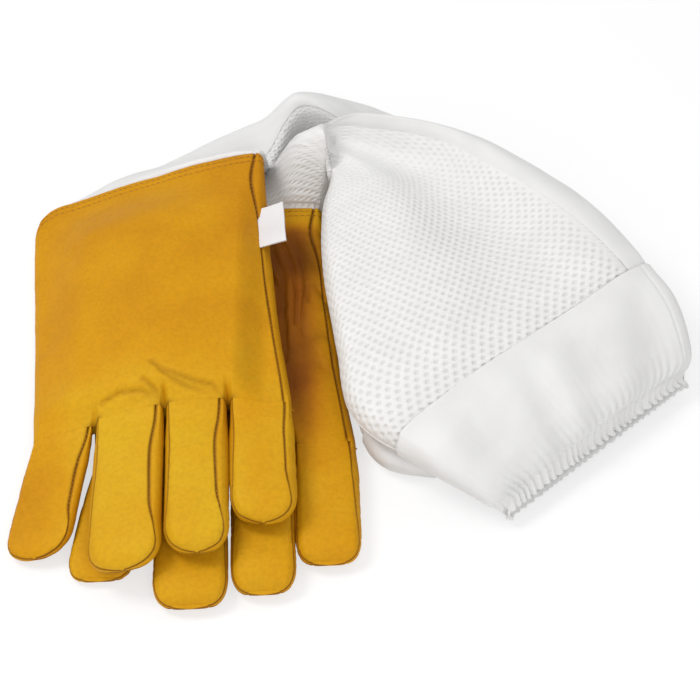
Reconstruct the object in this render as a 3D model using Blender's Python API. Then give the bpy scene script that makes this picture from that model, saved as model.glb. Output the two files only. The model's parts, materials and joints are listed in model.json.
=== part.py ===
"""A pair of beekeeping gloves: soft leather hands with long ventilated sleeves.

The right glove lies on its back, palm up. The left glove lies on it, palm down and a little
to the left. Both sleeves are folded over to the right, the right one on top.
Sizes are in millimetres and the meshes are made in metres. X points across the hands to the
little fingers, Y from the fingertips to the wrists and Z up from the table.
"""
import math
from collections import namedtuple

import bmesh
import bpy
from mathutils import Vector

METRE = 0.001
TURN = 2 * math.pi

# Hides and cloths
LEATHER = 1.2
MESH = 2.0
CLOTH = 0.9
ELASTIC = 1.4
TAG = 0.6
SEAM = 0.4
SLEEVE_SEAM = 0.7
LIE = 0.5

# Leather hand, lying flat. Both gloves have the same cut.
HEM_WIDTH = 106.0
HEM_LENGTH = 12.0
HEM_DEPTH = 13.0
HAND_LENGTH = 154.5
HAND_DEPTH = 16.0
INDEX_SIDE_THINNING = 0.4
INDEX_SIDE_BULGE = 12.0
INDEX_KNUCKLE_BULGE = 10.0
LITTLE_SIDE_BULGE = 1.5
LITTLE_KNUCKLE_BULGE = 4.5
HAND_YAW = math.radians(3)
SIDE_SEAM = math.radians(60)

# Fingers, from the index to the little finger: flat width, length past the knuckles, lean of the tip
FINGERS = (
    ("index", 30.5, 65.0, -11.5),
    ("middle", 33.5, 83.0, -2.5),
    ("ring", 29.5, 77.5, -0.8),
    ("pinky", 30.5, 63.0, -0.8),
)
FINGER_DEPTH = 17.0
FINGER_WAIST = 0.98
KNUCKLE_SHARE = 0.3
KNUCKLE_CORNER = 0.45
FINGER_CORNER = 0.95
TIP_LIFT = 0.75
TIP_LENGTH = 15.0
SQUARE_TIP = 0.5
ROUND_TIP = 0.25
GUSSET_LOW = math.radians(-40)
INNER_GUSSET_HIGH = math.radians(62)
OUTER_GUSSET_HIGH = math.radians(46)
INDEX_SEAM = math.radians(32)
LITTLE_SEAM = math.radians(66)

# Thumbs, lying side by side between the two palms
THUMB_LENGTH = 78.0
THUMB_WIDTH = 27.0
THUMB_DEPTH = 9.0
THUMB_SIDE = 10.0
THUMB_START = 52.0
THUMB_LEAN = 7.0

# Tag sewn into the left glove's side seam
TAG_START = 31.0
TAG_LENGTH = 25.0
TAG_WIDTH = 12.5
TAG_SLOPE = math.radians(12)
TAG_STAND = 1.3

# Sleeves
MESH_INNER_SEAM = math.radians(-15)
MESH_OUTER_SEAM = math.radians(113)
MESH_CUFF_SEAM = math.radians(122)
CLOTH_INNER_SEAM = math.radians(60)
CLOTH_OUTER_SEAM = math.radians(190)
ELASTIC_RIBS = (9.72, 9.84, 9.95)
FACING_RIB = 9.5

# Where the pair lies
RIGHT_WRIST = (-66.5, 100.0)
LEFT_WRIST = (-96.0, 109.5)
PILE = FINGER_DEPTH + LIE
TABLE_GAP = 0.3
THUMB_HUMP = THUMB_DEPTH + 3 * LIE
BUNCH = 8.0

# Where the left glove climbs, right of its wrist's middle or from its hem towards the fingers
PILE_CLIMB = (-64, 18)
HUMP_UP, HUMP_DOWN = (-52, -32), (40, 58)
HUMP_START = (THUMB_START - 28, THUMB_START - 8)
HUMP_END = (THUMB_START + THUMB_LENGTH + 10, THUMB_START + THUMB_LENGTH + 32)
BUNCH_UP, BUNCH_END = (-14, 36), (5, 45)
# Where the left sleeve comes down, behind its wrist or right of it
FALL_BEHIND, FALL_BESIDE = (10, 27), (58, 82)
# Where the fold of the right sleeve comes out from under the left glove
FOLD_SHOWN = (47, 70)

# How a flattened tube is rounded: the larger, the more of its width is flat
HAND_FLAT = 1.8
SLEEVE_FLAT = 1.3
# Height under which its belly is pressed flat
PRESSED = 0.3

# Ribs of the right sleeve: inner point and outer point from the wrist's inner corner,
# half depth, floor, peak of the fold, valley and ridge of the top, drop of the floor at the inner edge
Rib = namedtuple("Rib", "inner_x inner_y outer_x outer_y half_depth floor peak valley ridge drop",
                 defaults=(0,))
RIGHT_SLEEVE = (
    Rib(0, 0, -HEM_WIDTH, -5.5, HEM_DEPTH / 2, 0, 0, 0, 0),
    Rib(1.5, 4.5, -72, 14, HEM_DEPTH / 2, 0, 14, 0, 0),
    Rib(5.0, 6.4, -26, 25, HEM_DEPTH / 2, 0, 36, 0, 0),
    Rib(6.5, 5.5, -4, 31, 8, 5, 33, 0, 0, 5),
    Rib(7.0, 2.5, 22, 35, 11, 20, 12, 3, 2, 17),
    Rib(4.5, -22, 74, 22, 12, 22, 0, 12, 7, 7),
    Rib(2.0, -70, 112, -7, 13.5, 22, 0, 10, 7, 2),
    Rib(7.0, -118, 138, -34, 14.5, 22, 0, 6, 5),
    Rib(15.0, -156, 156, -60, 14, 21, 0, 2, 3),
    Rib(50.0, -179, 171, -86, 11, 15.5, 0, 0, 0),
    Rib(88.0, -193, 176, -115, 8, 3, 0, 0, 0),
)
LEFT_SLEEVE = (
    Rib(0, 0, -HEM_WIDTH, -5.5, HEM_DEPTH / 2, 0, 0, 0, 0),
    Rib(2, 13, -84, 9, 7.5, 0, 0, 0, 0),
    Rib(8, 25, -50, 30, 10, 0, 2, 0, 0),
    Rib(22, 36, 4, 53, 12, 0, 9, 0, 0),
    Rib(46, 23, 52, 56, 10, 0, 2, 0, 0),
    Rib(53, -11, 96, 34, 9.5, 0, 0, 0, 0),
    Rib(54, -61, 124, -1, 9.5, 0, 0, 0, 0),
    Rib(46, -109, 142, -35, 9.5, 0, 0, 0, 0),
    Rib(47, -151, 152, -63, 9.5, 0, 0, 0, 0),
    Rib(56, -178, 156, -93, 8.5, 0, 0, 0, 0),
    Rib(85, -187, 154, -121, 7, 0, 0, 0, 0),
)
CUFF_RIB = 8.3
HINGE_RIB = 5.5
ROWS_PER_RIB = 3
THINNED_RIBS = 2.5
DROP_START = 0.1
VALLEY_AT, VALLEY_REACH = -0.25, 0.6
RIDGE_AT, RIDGE_REACH = -0.8, 0.4

# Hinges lie this far over the highest point of the edge that they lift
HINGE_RISE = 1.0

Station = namedtuple("Station", "x y yaw half_width half_depth corner flat thinning floor crest")
Glove = namedtuple("Glove", "side wrist floor tip_width")


def smooth(low, high, value):
    """Step from 0 to 1 between two values, level at both ends."""
    share = min(max((value - low) / (high - low), 0.0), 1.0)
    return share * share * (3 - 2 * share)


def hill(centre, reach, value):
    """Rounded hill of height 1 that has gone at a reach to either side of its centre."""
    return 1 - smooth(0, reach, abs(value - centre))


def through(points, place):
    """Values at a place, counted in points, along a smooth curve through chosen points."""
    last = len(points) - 1
    k = min(int(place), last - 1)
    t = place - k
    before, start, end, after = (points[min(max(i, 0), last)] for i in (k - 1, k, k + 1, k + 2))
    return [
        b + t / 2 * (c - a + t * (2 * a - 5 * b + 4 * c - d + t * (3 * b - a - 3 * c + d)))
        for a, b, c, d in zip(before, start, end, after)
    ]


def level(x, y):
    """No crest on a tube that lies flat."""
    return 0.0


def on_table(x, y):
    """Floor under the right glove."""
    return 0.0


def depth_share(thinning, across):
    """Share of a flat tube's depth that is left towards its index side."""
    return 1 - thinning * smooth(0, 1, -across)


def on_right_glove(x, y):
    """Floor under the left glove: over the right glove and the thumbs, and down to the table at its left."""
    right_of_wrist, past_wrist = x - LEFT_WRIST[0], LEFT_WRIST[1] - y
    hump = smooth(*HUMP_UP, right_of_wrist) * (1 - smooth(*HUMP_DOWN, right_of_wrist))
    hump *= smooth(*HUMP_START, past_wrist) * (1 - smooth(*HUMP_END, past_wrist))
    bunch = smooth(*BUNCH_UP, right_of_wrist) * (1 - smooth(*BUNCH_END, past_wrist))
    return TABLE_GAP + PILE * smooth(*PILE_CLIMB, right_of_wrist) + THUMB_HUMP * hump + BUNCH * bunch


def under_left_sleeve(x, y):
    """Floor under the left sleeve: from the left glove's hem down to the table behind the right one."""
    behind = smooth(*FALL_BEHIND, y - LEFT_WRIST[1])
    beside = smooth(*FALL_BESIDE, x - LEFT_WRIST[0])
    return TABLE_GAP + (on_right_glove(x, y) - TABLE_GAP) * (1 - behind) * (1 - beside)


def skin(station, angle):
    """Point on the outside of a flattened tube: angle 0 is its right edge, a quarter turn its top."""
    cos, sin = math.cos(angle), math.sin(angle)
    spread = math.sin(math.pi / 2 * min(max(station.flat * cos, -1.0), 1.0))
    across = (station.half_width - station.corner) * spread + station.corner * cos
    x = station.x + across * math.cos(station.yaw)
    y = station.y + across * math.sin(station.yaw)
    across /= station.half_width
    rise = max(PRESSED, station.half_depth * depth_share(station.thinning, across) * (1 + sin))
    return Vector((x, y, station.floor(x, y) + rise + max(sin, 0.0) * station.crest(x, across)))


def height_over(station, point, axis):
    """Most that a cross-section rises over a line through a point."""
    most = 0.0
    for step in range(181):
        top = skin(station, math.radians(step))
        run = (top.x - point.x) * axis.x + (top.y - point.y) * axis.y
        most = max(most, top.z - point.z - axis.z * run / (axis.x ** 2 + axis.y ** 2))
    return most


def seam_step(station, angle, seam):
    """Turn along the tube's wall that leaves half a seam's gap."""
    turn = 0.01
    run = (skin(station, angle + turn) - skin(station, angle - turn)).length / (2 * turn)
    return seam / 2 / run


def wall_grids(stations, start, end, columns, inset, wall, seam, in_plane):
    """Outer and inner points of a stretch of a tube's wall between two angles.

    Each angle is for the first and the last of the stations. The wall's thickness lies across the
    skin or, at its ends and where asked, in the cross-section.
    """
    ring = end[0] - start[0] > TURN - 1e-6
    angles = []
    for i, station in enumerate(stations):
        first, last = (a + (b - a) * i / (len(stations) - 1) for a, b in (start, end))
        if not ring:
            first, last = first + seam_step(station, first, seam), last - seam_step(station, last, seam)
        steps = columns if ring else columns - 1
        angles.append([first + (last - first) * j / steps for j in range(columns)])
    skins = [[skin(s, a) for a in row] for s, row in zip(stations, angles)]
    outer, inner = [], []
    for i, station in enumerate(stations):
        first, last = max(i - 1, 0), min(i + 1, len(stations) - 1)
        before, after = skins[first], skins[last]
        across = Vector((math.cos(station.yaw), math.sin(station.yaw), 0))
        ahead = Vector((stations[last].x - stations[first].x, stations[last].y - stations[first].y, 0))
        outward = 1 if across.cross(ahead).z > 0 else -1
        square = Vector((-across.y, across.x, 0))
        outer_row, inner_row = [], []
        for j, angle in enumerate(angles[i]):
            point = skins[i][j]
            round_about = skin(station, angle + 0.02) - skin(station, angle - 0.02)
            normal = outward * (after[j] - before[j]).cross(round_about)
            if in_plane or i in (0, len(stations) - 1):
                normal -= square * normal.dot(square)
            normal.normalize()
            outer_row.append(point - normal * inset)
            inner_row.append(point - normal * (inset + wall))
        outer.append(outer_row)
        inner.append(inner_row)
    return outer, inner, ring


def material(name, colour, roughness):
    paint = bpy.data.materials.get(name) or bpy.data.materials.new(name)
    paint.use_nodes = True
    shader = paint.node_tree.nodes["Principled BSDF"]
    shader.inputs["Base Color"].default_value = (*colour, 1)
    shader.inputs["Roughness"].default_value = roughness
    return paint


def solid(name, points, faces, paint, pivot):
    """Closed solid as a named object whose origin is on its joint's axis."""
    mesh = bpy.data.meshes.new(name)
    mesh.from_pydata([(p - pivot) * METRE for p in points], [], faces)
    shape = bmesh.new()
    shape.from_mesh(mesh)
    if shape.calc_volume(signed=True) < 0:
        bmesh.ops.reverse_faces(shape, faces=shape.faces)
    bmesh.ops.triangulate(shape, faces=shape.faces)
    shape.to_mesh(mesh)
    shape.free()
    mesh.materials.append(paint)
    thing = bpy.data.objects.new(name, mesh)
    bpy.context.scene.collection.objects.link(thing)
    thing.location = pivot * METRE
    thing.parent = pair
    return thing


def panel(name, stations, start, end, columns, wall, paint, pivot, inset=0.0, seam=SEAM, in_plane=False):
    """Sewn panel: a stretch of a tube's wall as a closed sheet with its own thickness."""
    start, end = (angle if isinstance(angle, tuple) else (angle, angle) for angle in (start, end))
    outer, inner, ring = wall_grids(stations, start, end, columns, inset, wall, seam, in_plane)
    rows = len(stations)
    points = [p for row in outer + inner for p in row]
    under = rows * columns
    faces = []
    for i in range(rows - 1):
        for j in range(columns if ring else columns - 1):
            a, b = i * columns + j, i * columns + (j + 1) % columns
            faces.append((a, b, b + columns, a + columns))
            faces.append((under + a + columns, under + b + columns, under + b, under + a))
    for row, turn in ((0, 1), (rows - 1, -1)):
        for j in range(columns if ring else columns - 1):
            a, b = row * columns + j, row * columns + (j + 1) % columns
            faces.append((b, a, under + a, under + b)[::turn])
    if not ring:
        for column, turn in ((0, 1), (columns - 1, -1)):
            for i in range(rows - 1):
                a = i * columns + column
                faces.append((a, a + columns, under + a + columns, under + a)[::turn])
    return solid(name, points, faces, paint, pivot)


def place(glove, across, along):
    """Point in the layout from a place on a glove, across from its middle and along from its hem."""
    cos, sin = math.cos(HAND_YAW), math.sin(HAND_YAW)
    return glove.wrist[0] + across * cos + along * sin, glove.wrist[1] + across * sin - along * cos


def hand_station(glove, along):
    """Cross-section of the leather hand at a distance from its hem."""
    knuckles = sum(width for _, width, _, _ in FINGERS)
    hem = HEM_WIDTH / 2
    sides = (
        (hem, hem, HEM_DEPTH),
        (hem + INDEX_SIDE_BULGE, hem + LITTLE_SIDE_BULGE, HAND_DEPTH),
        (hem + INDEX_KNUCKLE_BULGE, hem + LITTLE_KNUCKLE_BULGE, HAND_DEPTH),
        (knuckles / 2, knuckles / 2, HAND_DEPTH),
    )
    left, right, depth = through(sides, along / HAND_LENGTH * (len(sides) - 1))
    x, y = place(glove, (right - left) / 2, along)
    return Station(x, y, HAND_YAW, (left + right) / 2, depth / 2, depth / 2,
                   HAND_FLAT, INDEX_SIDE_THINNING, glove.floor, level)


def finger_station(glove, number, share):
    """Cross-section of a finger at a share of its length from the knuckles to the tip."""
    _, width, length, lean = FINGERS[number]
    knuckles = sum(w for _, w, _, _ in FINGERS)
    centre = sum(w for _, w, _, _ in FINGERS[:number]) + width / 2 - knuckles / 2
    along = SEAM + share * (length - SEAM)
    end = max(0.0, (along - length + TIP_LENGTH) / TIP_LENGTH)
    rounding = math.sqrt(max(0.0, 1 - end * end))
    least = LEATHER + (SEAM + PRESSED) / 2
    from_knuckle = smooth(0, KNUCKLE_SHARE, share)
    depth = (HAND_DEPTH + (FINGER_DEPTH - HAND_DEPTH) * from_knuckle) / 2
    depth *= depth_share(INDEX_SIDE_THINNING, 2 * centre / knuckles)
    half_depth = least + (depth - least) * rounding
    waist = 1 - (1 - FINGER_WAIST) * from_knuckle
    half_width = (width - SEAM) / 2 * waist * (glove.tip_width + (1 - glove.tip_width) * rounding)
    corner = min(half_depth, half_width) * (KNUCKLE_CORNER + (FINGER_CORNER - KNUCKLE_CORNER) * from_knuckle)
    x, y = place(glove, centre + lean * share, HAND_LENGTH + along)
    lift = TIP_LIFT * (depth - half_depth)

    def floor(px, py):
        return glove.floor(px, py) + lift

    return Station(x, y, HAND_YAW, half_width, half_depth, corner, HAND_FLAT, 0, floor, level)


def thumb_station(glove, share):
    """Cross-section of a thumb, lying flat on the right glove's palm."""
    along = share * THUMB_LENGTH
    end = max(0.0, (along - THUMB_LENGTH + TIP_LENGTH) / TIP_LENGTH)
    rounding = math.sqrt(max(0.0, 1 - end * end))
    least = LEATHER + (SEAM + PRESSED) / 2
    half_depth = least + (THUMB_DEPTH / 2 - least) * rounding
    half_width = THUMB_WIDTH / 2 * (SQUARE_TIP + (1 - SQUARE_TIP) * rounding)
    x, y = place(glove, THUMB_LEAN * share - THUMB_SIDE, THUMB_START + along)

    def floor(px, py):
        across = (px - RIGHT_WRIST[0]) / (HEM_WIDTH / 2 + INDEX_SIDE_BULGE)
        palm = HAND_DEPTH * depth_share(INDEX_SIDE_THINNING, across)
        return palm + LIE + THUMB_DEPTH / 2 - half_depth

    return Station(x, y, HAND_YAW, half_width, half_depth, half_depth, HAND_FLAT, 0, floor, level)


def sleeve_station(glove, ribs, rib):
    """Cross-section of a folded sleeve between its inner and outer edges."""
    corner = place(glove, HEM_WIDTH / 2, 0)
    r = Rib(*through(ribs, rib))
    inner = corner[0] + r.inner_x, corner[1] + r.inner_y
    outer = corner[0] + r.outer_x, corner[1] + r.outer_y
    width = math.dist(inner, outer)
    yaw = math.atan2(inner[1] - outer[1], inner[0] - outer[0])
    middle = (inner[0] + outer[0]) / 2, (inner[1] + outer[1]) / 2

    def floor(x, y):
        if glove.side == "left":
            return under_left_sleeve(x, y)
        across = ((x - middle[0]) * math.cos(yaw) + (y - middle[1]) * math.sin(yaw)) / (width / 2)
        return max(0.0, r.floor - r.drop * smooth(DROP_START, 1, across))

    def crest(x, across):
        shown = smooth(*FOLD_SHOWN, x - LEFT_WRIST[0])
        valley = r.valley * hill(VALLEY_AT, VALLEY_REACH, across)
        return r.peak * shown - valley + r.ridge * hill(RIDGE_AT, RIDGE_REACH, across)

    thinning = INDEX_SIDE_THINNING * (1 - smooth(0, THINNED_RIBS, rib))
    return Station(*middle, yaw, width / 2, r.half_depth, min(r.half_depth, width / 4),
                   SLEEVE_FLAT, thinning, floor, crest)


def sleeve_rows(glove, ribs, first, last):
    """Stations from one rib to another, with half a seam's gap left at both ends."""
    count = max(2, round((last - first) * ROWS_PER_RIB)) + 1
    step = 0.05
    run = [sleeve_station(glove, ribs, r) for r in (first, first + step, last - step, last)]
    first += step * SEAM / 2 / math.dist(run[0][:2], run[1][:2])
    last -= step * SEAM / 2 / math.dist(run[2][:2], run[3][:2])
    return [sleeve_station(glove, ribs, first + (last - first) * i / (count - 1)) for i in range(count)]


def leather_hand(glove, pivot):
    """Hand wrap, sewn up the little finger side, and the turned hem at the wrist."""
    side = glove.side
    rows = 7
    start = HEM_LENGTH + SEAM / 2
    body = [start + (HAND_LENGTH - start) * i / (rows - 1) for i in range(rows)]
    panel(f"{side}_hand_wrap", [hand_station(glove, a) for a in body],
          SIDE_SEAM, SIDE_SEAM + TURN - 0.001, 25, LEATHER, leather, pivot)
    hem = [HEM_LENGTH * share for share in (0.0, 0.5, 1.0)]
    hem[-1] -= SEAM / 2
    panel(f"{side}_wrist_hem", [hand_station(glove, a) for a in hem],
          0, TURN, 24, LEATHER, leather, pivot)


def finger(glove, number, pivot):
    """Back, palm and gusset strips of one finger, sewn together at the tip."""
    name = f"{glove.side}_{FINGERS[number][0]}"
    length = FINGERS[number][2]
    tip = 1 - TIP_LENGTH / length
    shares = [0, KNUCKLE_SHARE * 0.4, KNUCKLE_SHARE, (KNUCKLE_SHARE + tip) / 2, tip]
    shares += [tip + (1 - tip) * end for end in (0.4, 0.7, 0.9, 1.0)]
    stations = [finger_station(glove, number, share) for share in shares]
    first, last = number == 0, number == len(FINGERS) - 1
    right = LITTLE_SEAM if last else INNER_GUSSET_HIGH
    left = TURN / 2 - (INDEX_SEAM if first else OUTER_GUSSET_HIGH)
    low_left = left if first else TURN / 2 - GUSSET_LOW
    low_right = TURN + (right if last else GUSSET_LOW)
    top, bottom = ("back", "palm") if glove.side == "left" else ("palm", "back")
    panel(f"{name}_{top}", stations, right, left, 6, LEATHER, leather, pivot)
    panel(f"{name}_{bottom}", stations, low_left, low_right, 7, LEATHER, leather, pivot)
    strips = stations[:-1]
    if not first:
        panel(f"{name}_outer_gusset", strips, left, low_left, 4, LEATHER, gusset_leather, pivot)
    if not last:
        panel(f"{name}_inner_gusset", strips, GUSSET_LOW, right, 4, LEATHER, gusset_leather, pivot)


def thumb(glove, pivot):
    """Thumb, folded in flat between the palms."""
    tip = 1 - TIP_LENGTH / THUMB_LENGTH
    shares = [0, tip / 2, tip, tip + (1 - tip) * 0.5, tip + (1 - tip) * 0.85, 1.0]
    panel(f"{glove.side}_thumb", [thumb_station(glove, share) for share in shares],
          0, TURN, 16, LEATHER, leather, pivot)


def sleeve(glove, ribs, pieces, cuff_pivot):
    """Mesh and cloth panels, the cuff and the elastic and facing inside its end."""
    side = glove.side
    for suffix, first, last, start, end, pivot in pieces:
        rows = sleeve_rows(glove, ribs, first, last)
        panel(f"{side}_sleeve_mesh{suffix}", rows, start, end, 13, MESH, mesh_cloth, pivot,
              seam=SLEEVE_SEAM, in_plane=True)
        panel(f"{side}_sleeve_cloth{suffix}", rows, end, (start + TURN, start + TURN), 13, CLOTH, cloth, pivot,
              seam=SLEEVE_SEAM, in_plane=True)
    cuff = sleeve_rows(glove, ribs, CUFF_RIB, FACING_RIB)
    band = [sleeve_station(glove, ribs, rib) for rib in ELASTIC_RIBS]
    edge = sleeve_station(glove, ribs, len(ribs) - 1)
    lining = [cuff[-1], *band, edge]
    panel(f"{side}_cuff", cuff[:-1] + lining, 0, TURN, 24, CLOTH, cloth, cuff_pivot,
          in_plane=True)
    panel(f"{side}_elastic", band, 0, TURN, 24, ELASTIC, elastic, cuff_pivot,
          CLOTH + SEAM, in_plane=True)
    panel(f"{side}_cuff_facing", lining, 0, TURN, 24, CLOTH, cloth, cuff_pivot,
          CLOTH + ELASTIC + 2 * SEAM, in_plane=True)


def tag(glove, pivot):
    """Plain white tag that stands out of the side seam."""
    out = Vector((math.cos(TAG_SLOPE), 0, math.sin(TAG_SLOPE)))
    up = out.cross(tag_axis)
    up.negate()
    corners = [pivot + out * a * TAG_WIDTH + tag_axis * (b - 0.5) * TAG_LENGTH + up * c * TAG
               for c in (0, 1) for a, b in ((0, 0), (1, 0), (1, 1), (0, 1))]
    faces = [(3, 2, 1, 0), (4, 5, 6, 7), (0, 1, 5, 4), (1, 2, 6, 5), (2, 3, 7, 6), (3, 0, 4, 7)]
    solid(f"{glove.side}_tag", corners, faces, tag_cloth, pivot)


for old in list(bpy.data.objects):
    bpy.data.objects.remove(old, do_unlink=True)

leather = material("goat_leather", (0.64, 0.31, 0.02), 0.6)
gusset_leather = material("gusset_leather", (0.56, 0.25, 0.015), 0.6)
mesh_cloth = material("spacer_mesh", (0.80, 0.78, 0.75), 0.85)
cloth = material("white_cloth", (0.82, 0.81, 0.80), 0.8)
elastic = material("elastic", (0.75, 0.74, 0.72), 0.7)
tag_cloth = material("tag_satin", (0.86, 0.85, 0.84), 0.5)

pair = bpy.data.objects.new("pair", None)
bpy.context.scene.collection.objects.link(pair)
still = Vector((0, 0, 0))
right_glove = Glove("right", RIGHT_WRIST, on_table, SQUARE_TIP)
left_glove = Glove("left", LEFT_WRIST, on_right_glove, ROUND_TIP)

# Hinge lines lie on top, so that the gap opens below when a piece is lifted
hem_right = skin(hand_station(left_glove, 0), math.radians(50))
hem_left = skin(hand_station(left_glove, 0), math.radians(130))
wrist_axis = (hem_left - hem_right).normalized()
wrist_pivot = (hem_right + hem_left) / 2
wrist_pivot.z += HINGE_RISE + height_over(hand_station(left_glove, 0), wrist_pivot, wrist_axis)
knuckle_axis = Vector((-math.cos(HAND_YAW), -math.sin(HAND_YAW), 0))
seam_start = skin(hand_station(left_glove, TAG_START), SIDE_SEAM)
seam_end = skin(hand_station(left_glove, TAG_START + TAG_LENGTH), SIDE_SEAM)
tag_pivot = (seam_start + seam_end) / 2 + Vector((0, 0, TAG_STAND))
tag_axis = (seam_end - seam_start).normalized()
hinge_rib = sleeve_station(right_glove, RIGHT_SLEEVE, HINGE_RIB)
sleeve_axis = Vector((math.cos(hinge_rib.yaw), math.sin(hinge_rib.yaw), 0))
sleeve_pivot = Vector((hinge_rib.x, hinge_rib.y, 0))
sleeve_pivot.z = HINGE_RISE + height_over(hinge_rib, sleeve_pivot, sleeve_axis)
knuckles = {}
for glove in (right_glove, left_glove):
    for number in range(len(FINGERS)):
        base = finger_station(glove, number, 0)
        pivot = Vector((base.x, base.y, 0))
        pivot.z = HINGE_RISE + height_over(base, pivot, knuckle_axis)
        knuckles[glove.side, number] = pivot

for glove, body in ((right_glove, still), (left_glove, wrist_pivot)):
    leather_hand(glove, body)
    thumb(glove, body)
    for number in range(len(FINGERS)):
        moves = glove is left_glove or number == len(FINGERS) - 1
        finger(glove, number, knuckles[glove.side, number] if moves else still)
tag(left_glove, tag_pivot)
sleeve(right_glove, RIGHT_SLEEVE, (
    ("", 0, HINGE_RIB, MESH_INNER_SEAM, MESH_OUTER_SEAM, still),
    ("_end", HINGE_RIB, CUFF_RIB, MESH_INNER_SEAM, (MESH_OUTER_SEAM, MESH_CUFF_SEAM), sleeve_pivot),
), sleeve_pivot)
sleeve(left_glove, LEFT_SLEEVE, (
    ("", 0, CUFF_RIB, CLOTH_OUTER_SEAM, CLOTH_INNER_SEAM + TURN, still),
), still)

# The pair's origin is under the middle of its bounding box
bpy.context.view_layer.update()
corners = [thing.matrix_world @ v.co for thing in pair.children for v in thing.data.vertices]
low = Vector([min(c[k] for c in corners) for k in range(3)])
high = Vector([max(c[k] for c in corners) for k in range(3)])
pair.location = (-(low.x + high.x) / 2, -(low.y + high.y) / 2, -low.z)
bpy.context.view_layer.update()

faces = sum(len(thing.data.polygons) for thing in pair.children)
print("nodes", len(pair.children), "triangles", faces)
print("size", [round(s, 4) for s in high - low], "pair at", [round(s, 5) for s in pair.location])
for name, point, axis in (
    ("left_wrist", wrist_pivot, wrist_axis),
    ("left_tag", tag_pivot, tag_axis),
    ("right_sleeve", sleeve_pivot, sleeve_axis),
    *((f"{side}_{FINGERS[n][0]}", pivot, knuckle_axis) for (side, n), pivot in knuckles.items()),
):
    world = point * METRE + pair.location
    print("hinge", name, [round(s, 5) for s in world], [round(s, 4) for s in axis])
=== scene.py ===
import json
import math
from collections import namedtuple

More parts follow.
